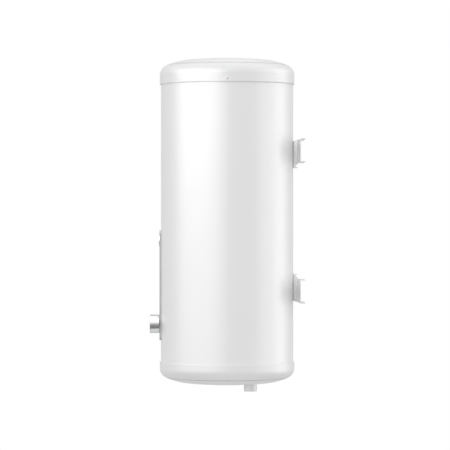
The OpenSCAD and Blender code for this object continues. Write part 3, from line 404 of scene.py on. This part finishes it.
def turned_metal(name, colour, rough=(0.16, 0.24)):
    """Metal spun on a lathe whose axis is Y: very fine rings round that axis."""
    paint = Paint(name, metallic=1.0)
    shift = paint.node("ShaderNodeMapping")
    shift.inputs["Location"].default_value = -box_centre("knob")
    paint.link(paint.place, shift.inputs["Vector"])
    split = paint.node("ShaderNodeSeparateXYZ")
    paint.link(shift.outputs[0], split.inputs[0])
    flat = paint.node("ShaderNodeCombineXYZ")
    paint.link(split.outputs["X"], flat.inputs["X"])
    paint.link(split.outputs["Z"], flat.inputs["Z"])
    length = paint.node("ShaderNodeVectorMath", operation="LENGTH")
    paint.link(flat.outputs[0], length.inputs[0])
    rings = paint.node("ShaderNodeTexNoise", noise_dimensions="1D")
    rings.inputs["Scale"].default_value = 5200
    rings.inputs["Detail"].default_value = 3
    paint.link(length.outputs["Value"], rings.inputs["W"])
    paint.tint(paint.fitted(rings.outputs["Fac"], 0, 1), shade(colour, 0.95), shade(colour, 1.03))
    paint.rough(paint.noise(240, 4), *rough)
    paint.bump(rings.outputs["Fac"], 4e-6, 0.5)
    return paint.material


def foam_material(name, colour):
    """Open-pored polyurethane foam, a little browner in places."""
    paint = Paint(name)
    paint.tint(paint.fitted(paint.noise(40), 0, 1), shade(colour, 0.85), shade(colour, 1.1))
    paint.rough(paint.noise(90), 0.8, 0.95)
    paint.bump(paint.cells(700), 4e-4, 0.8)
    return paint.material


def clear_plastic(name):
    """Polished see-through plastic with faint wear in its gloss."""
    paint = Paint(name, ior=1.49)
    paint.set("Transmission Weight", 1.0)
    paint.set("Base Color", (0.97, 0.985, 0.99, 1))
    paint.rough(paint.noise(400), 0.015, 0.05)
    return paint.material


def amber_lens(name):
    """Tinted plastic over an unlit pilot lamp, with a fine prism texture."""
    paint = Paint(name, ior=1.49, coat=0.5)
    paint.set("Transmission Weight", 0.35)
    paint.tint(paint.fitted(paint.noise(500), 0, 1), (0.82, 0.30, 0.03), (0.95, 0.42, 0.06))
    paint.rough(paint.noise(900), 0.08, 0.16)
    paint.bump(paint.cells(1500), 2e-5, 0.4)
    return paint.material


WHITE = (0.80, 0.80, 0.803)
MATERIALS = {
    "white_enamel": powder_coat("enamel_white", WHITE, 0.38),
    "white_plastic": moulded_white("moulded_white", shade(WHITE, 0.985), 0.34),
    "bracket_paint": powder_coat("bracket_white", shade(WHITE, 0.99), 0.3),
    "strip_silver": silver_paint("strip_silver", (0.585, 0.595, 0.61)),
    "knob_silver": turned_metal("knob_silver", (0.84, 0.845, 0.855)),
    "signal_red": mottled("signal_red", (0.62, 0.04, 0.03), rough=(0.3, 0.45), coat=0.3),
    "signal_blue": mottled("signal_blue", (0.03, 0.12, 0.5), rough=(0.3, 0.45), coat=0.3),
    "lamp_amber": amber_lens("lamp_amber"),
    "chrome_trim": mottled("chrome_trim", (0.86, 0.865, 0.87), 0.01, 80, (0.05, 0.1),
                           (1500, 1e-6), metallic=1.0),
    "zinc_steel": brushed("zinc_steel", (0.62, 0.62, 0.63), 2, (0.28, 0.42)),
    "screw_steel": brushed("screw_steel", (0.42, 0.42, 0.43), 2, (0.3, 0.45)),
    "enamelled_steel": mottled("enamelled_steel", (0.06, 0.09, 0.16), 0.2, 40, (0.15, 0.3),
                               (300, 3e-5), coat=0.6),
    "foam": foam_material("foam", (0.80, 0.68, 0.38)),
    "grey_plastic": mottled("grey_plastic", (0.19, 0.195, 0.2), 0.05, 80, (0.45, 0.6)),
    "ivory_plastic": mottled("ivory_plastic", (0.72, 0.68, 0.56), 0.04, 80, (0.4, 0.55)),
    "dial_white": mottled("dial_white", (0.88, 0.88, 0.87), 0.01, 200, (0.35, 0.45),
                          (3000, 2e-6)),
    "clear_plastic": clear_plastic("clear_plastic"),
    "brass": brushed("brass", (0.70, 0.50, 0.20), 2, (0.22, 0.36)),
    "copper": mottled("copper", (0.72, 0.34, 0.20), 0.12, 90, (0.25, 0.45), (900, 1e-5),
                      metallic=1.0),
    "magnesium": mottled("magnesium", (0.42, 0.43, 0.44), 0.1, 120, (0.5, 0.7), (600, 8e-5),
                         metallic=0.8),
    "black_rubber": mottled("black_rubber", (0.022, 0.022, 0.024), 0.15, 120, (0.55, 0.75),
                            (1200, 3e-5)),
    "wire_brown": mottled("wire_brown", (0.12, 0.05, 0.02), 0.08, 120, (0.35, 0.5)),
    "wire_blue": mottled("wire_blue", (0.02, 0.07, 0.35), 0.08, 120, (0.35, 0.5)),
    "wire_green": mottled("wire_green", (0.12, 0.35, 0.04), 0.08, 120, (0.35, 0.5)),
    "print_black": mottled("print_black", (0.03, 0.03, 0.032), 0.1, 300, (0.45, 0.6),
                           (3000, 1e-6)),
}
SLOT_OF = {part["node"]: part["material_slot"] for part in frame["record"]["subparts"]}
for node_name, node_object in NODES.items():
    node_object.data.materials.clear()
    node_object.data.materials.append(MATERIALS[SLOT_OF[node_name]])

# ---------------------------------------------------------------- mesh helpers


# Edges from this angle up are shaded sharp, and edges from the next one up are bevelled
SHARP_DEGREES = 32
BEVEL_DEGREES = 30
# Triangles within this angle are joined before bevelling, and points this close are merged
FLAT_DEGREES = 1.0
WELD = 2e-6


def shade_smooth(bm):
    limit = math.radians(SHARP_DEGREES)
    for face in bm.faces:
        face.smooth = True
    for edge in bm.edges:
        edge.smooth = len(edge.link_faces) == 2 and edge.calc_face_angle(0) < limit


def scene_object(name, bm):
    """A mesh object out of a bmesh, which is used up."""
    bmesh.ops.recalc_face_normals(bm, faces=bm.faces[:])
    shade_smooth(bm)
    mesh = bpy.data.meshes.new(name)
    bm.to_mesh(mesh)
    bm.free()
    made = bpy.data.objects.new(name, mesh)
    bpy.context.scene.collection.objects.link(made)
    return made


def piece(name, bm, slot, body="heater", replaces=(), material=None):
    """A finished piece: it rides on a body, takes the material of its slot or the one given, and
    hides the CAD nodes it stands for.
    """
    made = scene_object(name, bm)
    made.data.materials.append(MATERIALS[material or slot])
    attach(made, body)
    if replaces:
        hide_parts(*replaces)
    return made


def rounded(points, steps=6):
    """Profile points (r, h) or (r, h, fillet); each fillet becomes an arc."""
    path = []
    for i, point in enumerate(points):
        here = Vector(point[:2])
        if len(point) < 3:
            path.append((here.x, here.y))
            continue
        before = (Vector(points[i - 1][:2]) - here).normalized()
        after = (Vector(points[(i + 1) % len(points)][:2]) - here).normalized()
        half = before.angle(after) / 2
        middle = here + (before + after).normalized() * point[2] / math.sin(half)
        spoke = here + before * point[2] / math.tan(half) - middle
        last = here + after * point[2] / math.tan(half) - middle
        turn = math.atan2(spoke.x * last.y - spoke.y * last.x, spoke.dot(last))
        for k in range(steps + 1):
            c, q = math.cos(turn * k / steps), math.sin(turn * k / steps)
            path.append((middle.x + c * spoke.x - q * spoke.y,
                         middle.y + q * spoke.x + c * spoke.y))
    return path


def lathe(path, segments=96, closed=False):
    """Turns a path of (r, h) round local Z. r may be a function of the angle."""
    bm = bmesh.new()
    rings = []
    for r, h in path:
        if not callable(r) and r < 1e-7:
            rings.append([bm.verts.new((0, 0, h))])
            continue
        ring = []
        for k in range(segments):
            a = math.tau * k / segments
            length = r(a) if callable(r) else r
            ring.append(bm.verts.new((length * math.cos(a), length * math.sin(a), h)))
        rings.append(ring)
    pairs = list(zip(rings, rings[1:])) + ([(rings[-1], rings[0])] if closed else [])
    for low, high in pairs:
        for k in range(segments):
            corners = [low[k % len(low)], low[(k + 1) % len(low)],
                       high[(k + 1) % len(high)], high[k % len(high)]]
            bm.faces.new(list(dict.fromkeys(corners)))
    return bm


def moved(bm, place, turn=AXIS_UP):
    bmesh.ops.transform(bm, matrix=Matrix.Translation(place) @ turn.to_4x4(), verts=bm.verts[:])
    return bm


def merged(parts):
    """One mesh out of several; the parts are used up."""
    whole = bmesh.new()
    for part in parts:
        mesh = bpy.data.meshes.new("part")
        part.to_mesh(mesh)
        part.free()
        whole.from_mesh(mesh)
        bpy.data.meshes.remove(mesh)
    return whole


def block(x, y, z, taper=1.0):
    """A box centred on the origin; taper scales its lower end."""
    bm = bmesh.new()
    bmesh.ops.create_cube(bm, size=1)
    for v in bm.verts:
        k = taper if v.co.z < 0 else 1.0
        v.co = Vector((v.co.x * x * k, v.co.y * y * k, v.co.z * z))
    return bm


def bevelled(bm, width, steps=2):
    """Rounds every sharp edge."""
    source = scene_object("bevelling", bm)
    bevel = source.modifiers.new("bevel", "BEVEL")
    bevel.width = width
    bevel.segments = steps
    bevel.limit_method = "ANGLE"
    bevel.angle_limit = math.radians(BEVEL_DEGREES)
    return taken(source)


def carved(bm, cutter):
    """The first mesh minus the second."""
    source = scene_object("carving", bm)
    tool = scene_object("cutter", cutter)
    cut = source.modifiers.new("cut", "BOOLEAN")
    cut.operation = "DIFFERENCE"
    cut.solver = "EXACT"
    cut.object = tool
    result = taken(source)
    bpy.data.objects.remove(tool)
    return result


def taken(source):
    """The evaluated mesh of a scratch object, which is then removed."""
    bpy.context.view_layer.update()
    graph = bpy.context.evaluated_depsgraph_get()
    mesh = bpy.data.meshes.new_from_object(source.evaluated_get(graph))
    bm = bmesh.new()
    bm.from_mesh(mesh)
    bpy.data.meshes.remove(mesh)
    bpy.data.objects.remove(source)
    return bm


def softened(node, width, steps=2):
    """The heater node's own shape with its triangles joined and its sharp edges rounded."""
    bm = bmesh.new()
    bm.from_mesh(NODES[node].data)
    bmesh.ops.remove_doubles(bm, verts=bm.verts[:], dist=WELD)
    bmesh.ops.dissolve_limit(bm, angle_limit=math.radians(FLAT_DEGREES), verts=bm.verts[:],
                             edges=bm.edges[:])
    return piece(node + "_finished", bevelled(bm, width, steps), SLOT_OF[node],
                 replaces=[node])


def facing_front(node):
    """Radius, depth and centre of the back face of a round node whose axis is Y."""
    low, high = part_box(node)
    middle = (low + high) / 2
    return (high.x - low.x) / 2, high.y - low.y, Vector((middle.x, high.y, middle.z))


def upright(node):
    """Radius, length and centre of the lower face of a round node whose axis is Z."""
    low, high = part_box(node)
    middle = (low + high) / 2
    return (high.x - low.x) / 2, high.z - low.z, Vector((middle.x, middle.y, low.z))


# ---------------------------------------------------------------- brackets and casing


def make_brackets():
    brackets = [softened(node, 0.45 * MM) for node in ("upper_bracket", "lower_bracket")]
    softened("bracket_bolts", 0.35 * MM)
    return brackets


def make_casing_seam():
    """Folded lock seam of the casing sheet, on the wall side next to the brackets."""
    width, proud, sunk, root = 9 * MM, 0.9 * MM, 0.15 * MM, 0.3 * MM
    tuck, side_x, steps = 5 * MM, -60 * MM, 6
    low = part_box("bottom_cap")[1].z - tuck
    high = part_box("top_cap")[0].z + tuck
    middle = math.atan2(math.sqrt(CASING_R ** 2 - side_x ** 2), side_x)
    half = width / 2 / CASING_R
    section = []
    for k in range(-steps, steps + 1):
        share = k / steps
        lift = proud * math.sqrt(max(0.0, 1 - abs(share) ** 6))
        section.append((CASING_R + lift - sunk, middle + share * half))
    section += [(CASING_R - root, middle - s * half) for s in (-1, 1)]
    bm = bmesh.new()
    rows = []
    for z in (low, high):
        rows.append([bm.verts.new((TANK_AXIS.x + r * math.cos(a), TANK_AXIS.y + r * math.sin(a), z))
                     for r, a in section])
    count = len(section)
    for k in range(count):
        bm.faces.new([rows[0][k], rows[0][(k + 1) % count], rows[1][(k + 1) % count], rows[1][k]])
    bm.faces.new(rows[0])
    bm.faces.new(rows[1])
    piece("casing_seam", bm, "white_enamel")


# ---------------------------------------------------------------- screws


def screw(head_r, head_h, shank_r, shank_len):
    """A pan-head screw with a cross recess; its head looks along local +Z from z = 0."""
    path = rounded([(0, head_h), (head_r * 0.55, head_h * 0.97), (head_r, head_h * 0.72, 0.25 * MM),
                    (head_r, 0, 0.1 * MM), (shank_r, 0), (shank_r, -shank_len, 0.4 * MM),
                    (0, -shank_len)], 4)
    depth = 0.75 * head_h
    arm, thick = 1.15 * head_r, 0.26 * head_r
    body = lathe(path, 40)
    for x, y in ((arm, thick), (thick, arm)):
        cutter = block(x, y, 2 * depth, 0.55)
        body = carved(body, moved(cutter, Vector((0, 0, head_h))))
    return body


def make_screws():
    """One screw on each side of the top cap, and three round the service cover."""
    low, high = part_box("cap_screws")
    middle = (low + high) / 2
    head_r = (high.z - low.z) / 2
    head_h, shank_r, shank_len, recess_turn = 1.3 * MM, 1.7 * MM, 9 * MM, 0.5
    pair = []
    for side in (-1, 1):
        turn = (Matrix.Rotation(math.radians(90 * side), 3, "Y")
                @ Matrix.Rotation(recess_turn, 3, "Z"))
        place = Vector((side * (high.x - head_h), middle.y, middle.z))
        pair.append(moved(screw(head_r, head_h, shank_r, shank_len), place, turn))
    piece("cap_screws_finished", merged(pair), "screw_steel", replaces=["cap_screws"])

    # The cover's screws have the same heads, but flatter, and the first one is nearest the wall
    low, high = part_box("cover_screws")
    head_h, shank_r, recess_turn = 1.0 * MM, 1.55 * MM, 0.3
    shank_len = high.z - low.z - head_h
    pitch_r = high.y - head_r - TANK_AXIS.y
    trio = []
    for k, degrees in enumerate((90, 210, 330)):
        a = math.radians(degrees)
        place = Vector((TANK_AXIS.x + pitch_r * math.cos(a), TANK_AXIS.y + pitch_r * math.sin(a),
                        low.z + head_h))
        turn = Matrix.Rotation(math.pi, 3, "X") @ Matrix.Rotation(recess_turn + k, 3, "Z")
        trio.append(moved(screw(head_r, head_h, shank_r, shank_len), place, turn))
    piece("cover_screws_finished", merged(trio), SLOT_OF["cover_screws"],
          replaces=["cover_screws"])


# ---------------------------------------------------------------- control strip and knob


# At rest the knob's index stands this far from straight up, halfway through its travel
KNOB_REST_DEGREES = -135
KNOB_SWEEP_DEGREES = 270


def make_knob():
    """A hollow knob with a hub and a dished face, its index bar and its printed scale."""
    r, depth, back = facing_front("knob")
    face_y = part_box("knob")[0].y
    wall, hub_r, hub_recess, bore_r, bore_end = 2.5 * MM, 6.5 * MM, 3 * MM, 3.05 * MM, 6 * MM
    dish_r, dish = 20 * MM, 0.7 * MM
    path = rounded([
        (0, depth - dish), (dish_r - 1.5 * MM, depth - dish, 1.2 * MM), (dish_r, depth, 0.5 * MM),
        (r, depth, 1.5 * MM), (r, 0, 0.4 * MM), (r - wall, 0, 0.4 * MM),
        (r - wall, depth - wall, 1 * MM), (hub_r, depth - wall, 1 * MM),
        (hub_r, hub_recess, 0.3 * MM), (bore_r, hub_recess, 0.3 * MM),
        (bore_r, depth - bore_end), (0, depth - bore_end)], 6)
    body = moved(lathe(path, 160), back, AXIS_FRONT)
    index_low, index_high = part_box("knob_index")
    index_middle = (index_low + index_high) / 2
    index_w, index_len, pocket_w, pocket_len = 1.6 * MM, 10 * MM, 2.0 * MM, 10.4 * MM
    start_angle = math.radians(KNOB_REST_DEGREES)
    turn = Matrix.Rotation(start_angle, 3, "Y")
    pocket = block(pocket_w, pocket_w, pocket_len)
    body = carved(body, moved(pocket, Vector((index_middle.x, face_y, index_middle.z)), turn))
    knob = piece("knob_finished", body, "knob_silver", "knob", ["knob"])

    bar = bevelled(block(index_w, index_high.y - index_low.y, index_len), 0.3 * MM, 3)
    piece("knob_index_finished", moved(bar, index_middle, turn), "signal_red", "knob",
          ["knob_index"])

    # The scale runs round the face from the index; every third mark is a long one
    marks = []
    steps, sweep = 18, math.radians(KNOB_SWEEP_DEGREES)
    mark_w, ink, outer_r = 0.55 * MM, 0.12 * MM, 28.9 * MM
    for k in range(1, steps + 1):
        length = (2.6 if k % 3 == 0 else 1.6) * MM
        mark = moved(block(mark_w, ink, length), Vector((0, 0, outer_r - length / 2)))
        spin = Matrix.Rotation(start_angle + sweep * k / steps, 3, "Y")
        marks.append(moved(mark, Vector((back.x, face_y - 0.01 * MM, back.z)), spin))
    piece("knob_scale", merged(marks), "grey_plastic", "knob", material="print_black")
    return knob


def make_strip():
    """The strip, the fixed pointer that the knob's scale is read against, and the pilot lens."""
    strip = softened("control_strip", 0.5 * MM, steps=3)
    low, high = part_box("control_strip")
    half_w, tall, proud, above_knob = 2.6 * MM, 5.2 * MM, 0.3 * MM, 2.2 * MM
    bm = bmesh.new()
    outline = [(-half_w, tall), (half_w, tall), (0, 0)]
    rows = [[bm.verts.new((x, y, z)) for x, z in outline] for y in (0, -proud)]
    bm.faces.new(rows[0])
    bm.faces.new(rows[1])
    for k in range(3):
        bm.faces.new([rows[0][k], rows[0][(k + 1) % 3], rows[1][(k + 1) % 3], rows[1][k]])
    place = Vector(((low.x + high.x) / 2, low.y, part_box("knob")[1].z + above_knob))
    piece("knob_pointer", moved(bm, place), "grey_plastic", material="print_black")

    r, depth, back = facing_front("pilot_lens")
    dome_rise = 0.9 * MM
    dome = [(r * math.sin(math.radians(a)), depth - dome_rise * (1 - math.cos(math.radians(a))))
            for a in range(0, 91, 10)]
    lens = moved(lathe(dome + [(r, 0), (0, 0)], 48), back, AXIS_FRONT)
    piece("pilot_lens_finished", lens, "lamp_amber", replaces=["pilot_lens"])
    return strip


# ---------------------------------------------------------------- thermometer


def ring_sector(r_in, r_out, from_degrees, to_degrees, thick, steps=24):
    """A flat arc facing -Y; angles run clockwise from straight up, seen from the front."""
    bm = bmesh.new()
    rows = []
    for k in range(steps + 1):
        a = math.radians(from_degrees + (to_degrees - from_degrees) * k / steps)
        rows.append([bm.verts.new((r * math.sin(a), y, r * math.cos(a)))
                     for r, y in ((r_in, 0), (r_out, 0), (r_out, -thick), (r_in, -thick))])
    for first, second in zip(rows, rows[1:]):
        for k in range(4):
            bm.faces.new([first[k], first[(k + 1) % 4], second[(k + 1) % 4], second[k]])
    bm.faces.new(rows[0])
    bm.faces.new(rows[-1])
    return bm


def numeral(text, size, thick):
    """A number as a mesh that faces -Y, centred on the origin."""
    curve = bpy.data.curves.new("numeral", "FONT")
    curve.body = text
    curve.size = size
    curve.align_x = "CENTER"
    curve.align_y = "CENTER"
    curve.extrude = thick / 2
    curve.resolution_u = 4
    source = bpy.data.objects.new("numeral", curve)
    bpy.context.scene.collection.objects.link(source)
    return moved(taken(source), Vector((0, 0, 0)), AXIS_FRONT)


def make_thermometer():
    """Bezel, lens and the printed dial: 0 to 120 over 240 degrees, with three coloured zones."""
    r, lip, back = facing_front("gauge_bezel")
    mouth_r, case_r = 17.9 * MM, 19.3 * MM
    path = rounded([
        (mouth_r, lip, 0.3 * MM), (mouth_r + 1.4 * MM, lip, 0.5 * MM), (r, lip, 1.2 * MM),
        (r, 0, 0.15 * MM), (case_r, 0, 0.1 * MM), (case_r, lip - 0.8 * MM),
        (mouth_r, lip - 0.8 * MM, 0.15 * MM)], 5)
    bezel = moved(lathe(path, 128, True), back, AXIS_FRONT)
    piece("gauge_bezel_finished", bezel, "chrome_trim", replaces=["gauge_bezel"])

    lens_r, thick, lens_back = facing_front("gauge_lens")
    swell = 0.45 * MM
    face = [(lens_r * k / 10, thick - swell * (k / 10) ** 2) for k in range(11)]
    lens = moved(lathe(face + [(lens_r, 0), (0, 0)], 96), lens_back, AXIS_FRONT)
    piece("gauge_lens_finished", lens, "clear_plastic", replaces=["gauge_lens"])

    # The print sinks a little into the dial. Angles are from straight up, clockwise.
    dial_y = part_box("gauge_dial")[0].y
    place = Vector((back.x, dial_y + 0.02 * MM, back.z))
    ink, mark_r, numeral_r, numeral_h = 0.1 * MM, 14.2 * MM, 10 * MM, 2.9 * MM
    zone_r_in, zone_r_out, zone_gap = 14.8 * MM, 16.2 * MM, 0.8
    scale_from, scale_to, warm_from, hot_from = -120, 120, -20, 60
    marks, mark_step, marks_per_numeral, value_step = 25, 10, 6, 30
    parts = []
    for k in range(marks):
        major = k % marks_per_numeral == 0
        length, width = (2.6 if major else 1.4) * MM, (0.5 if major else 0.28) * MM
        mark = moved(block(width, ink, length), Vector((0, -ink / 2, mark_r - length / 2)))
        spin = Matrix.Rotation(math.radians(scale_from + mark_step * k), 3, "Y")
        parts.append(moved(mark, place, spin))
    for k in range(marks // marks_per_numeral + 1):
        a = math.radians(scale_from + mark_step * marks_per_numeral * k)
        spot = place + Vector((numeral_r * math.sin(a), -ink / 2, numeral_r * math.cos(a)))
        parts.append(moved(numeral(str(value_step * k), numeral_h, ink), spot))
    piece("gauge_scale", merged(parts), "grey_plastic", material="print_black")
    zones = (("cool", scale_from, warm_from, "signal_blue"),
             ("warm", warm_from, hot_from, "wire_green"),
             ("hot", hot_from, scale_to, "signal_red"))
    for name, start, end, finish in zones:
        arc = ring_sector(zone_r_in, zone_r_out, start + zone_gap, end - zone_gap, ink)
        piece("gauge_zone_" + name, moved(arc, place), finish)


# ---------------------------------------------------------------- connections and cord entry


def make_sockets():
    """Sockets with a helical G 3/4 thread inside their mouths."""
    pitch, minor, major, threaded = 1.814 * MM, 12.06 * MM, 13.2 * MM, 16 * MM
    passage_r, rings_per_turn, lead_in = 8.2 * MM, 12, 0.9 * MM
    for node in ("cold_socket", "hot_socket"):
        r, length, foot = upright(node)

        def wall(h):
            """The thread's radius at height h, as a function of the angle."""
            fade = min(1.0, (threaded - h) / (0.6 * pitch))
            lead = max(0.0, 1 - h / lead_in)

            def radius(a):
                wave = 0.5 - 0.5 * math.cos(math.tau * (h / pitch - a / math.tau))
                shaped = min(1.0, max(0.0, 1.35 * wave - 0.15))
                return max(minor + fade * (major - minor) * shaped,
                           minor + lead * (major - minor + 0.2 * MM))
            return radius

        step = pitch / rings_per_turn
        rings = int(threaded / step)
        inside = [(wall(k * step), k * step) for k in range(rings + 1)]
        path = (inside + [(minor, threaded), (passage_r, threaded + 2 * MM), (passage_r, length)]
                + rounded([(passage_r, length), (r, length, 0.3 * MM), (r, 0, 0.5 * MM),
                           (minor, 0)], 4)[1:-1])
        piece(node + "_finished", moved(lathe(path, 96, True), foot), SLOT_OF[node],
              replaces=[node])


def make_grommet():
    """A rubber grommet: a domed rim below the wall, a neck through it and a lip above."""
    r, length, foot = upright("cable_grommet")
    rim, neck_r, bore_r, top, lip_r = 2.2 * MM, 8 * MM, 4 * MM, 3 * MM, 0.9 * r
    path = rounded([
        (bore_r, 0, 0.8 * MM), (r - 3.5 * MM, 0, 1.5 * MM), (r, 1.0 * MM, 0.6 * MM),
        (r, rim, 0.3 * MM), (neck_r, rim), (neck_r, length - top),
        (lip_r, length - top, 0.4 * MM), (lip_r - 1.2 * MM, length, 0.8 * MM),
        (bore_r, length, 0.6 * MM)], 5)
    piece("cable_grommet_finished", moved(lathe(path, 72, True), foot), "black_rubber",
          replaces=["cable_grommet"])


brackets = make_brackets()
make_casing_seam()
make_screws()
silver = [make_knob(), make_strip()]
make_thermometer()
make_sockets()
make_grommet()

# ---------------------------------------------------------------- floor


def make_floor():
    """A plain pale round floor, well below the hanging heater."""
    bm = bmesh.new()
    bmesh.ops.create_circle(bm, cap_ends=True, radius=FLOOR_R, segments=128)
    solid = bmesh.ops.extrude_face_region(bm, geom=bm.faces[:])
    bmesh.ops.translate(bm, verts=[v for v in solid["geom"] if isinstance(v, bmesh.types.BMVert)],
                        vec=(0, 0, -FLOOR_T))
    bmesh.ops.recalc_face_normals(bm, faces=bm.faces[:])
    mesh = bpy.data.meshes.new("floor")
    bm.to_mesh(mesh)
    bm.free()
    floor = bpy.data.objects.new("floor", mesh)
    floor.location = (TANK_AXIS.x, TANK_AXIS.y, CAD_BOX[0].z - FLOOR_DROP)
    bpy.context.scene.collection.objects.link(floor)
    mesh.materials.append(mottled("floor_pale", (0.70, 0.70, 0.705), 0.01, 4, (0.6, 0.7),
                                  (300, 1e-5)))


make_floor()
make_lights(brackets, silver)
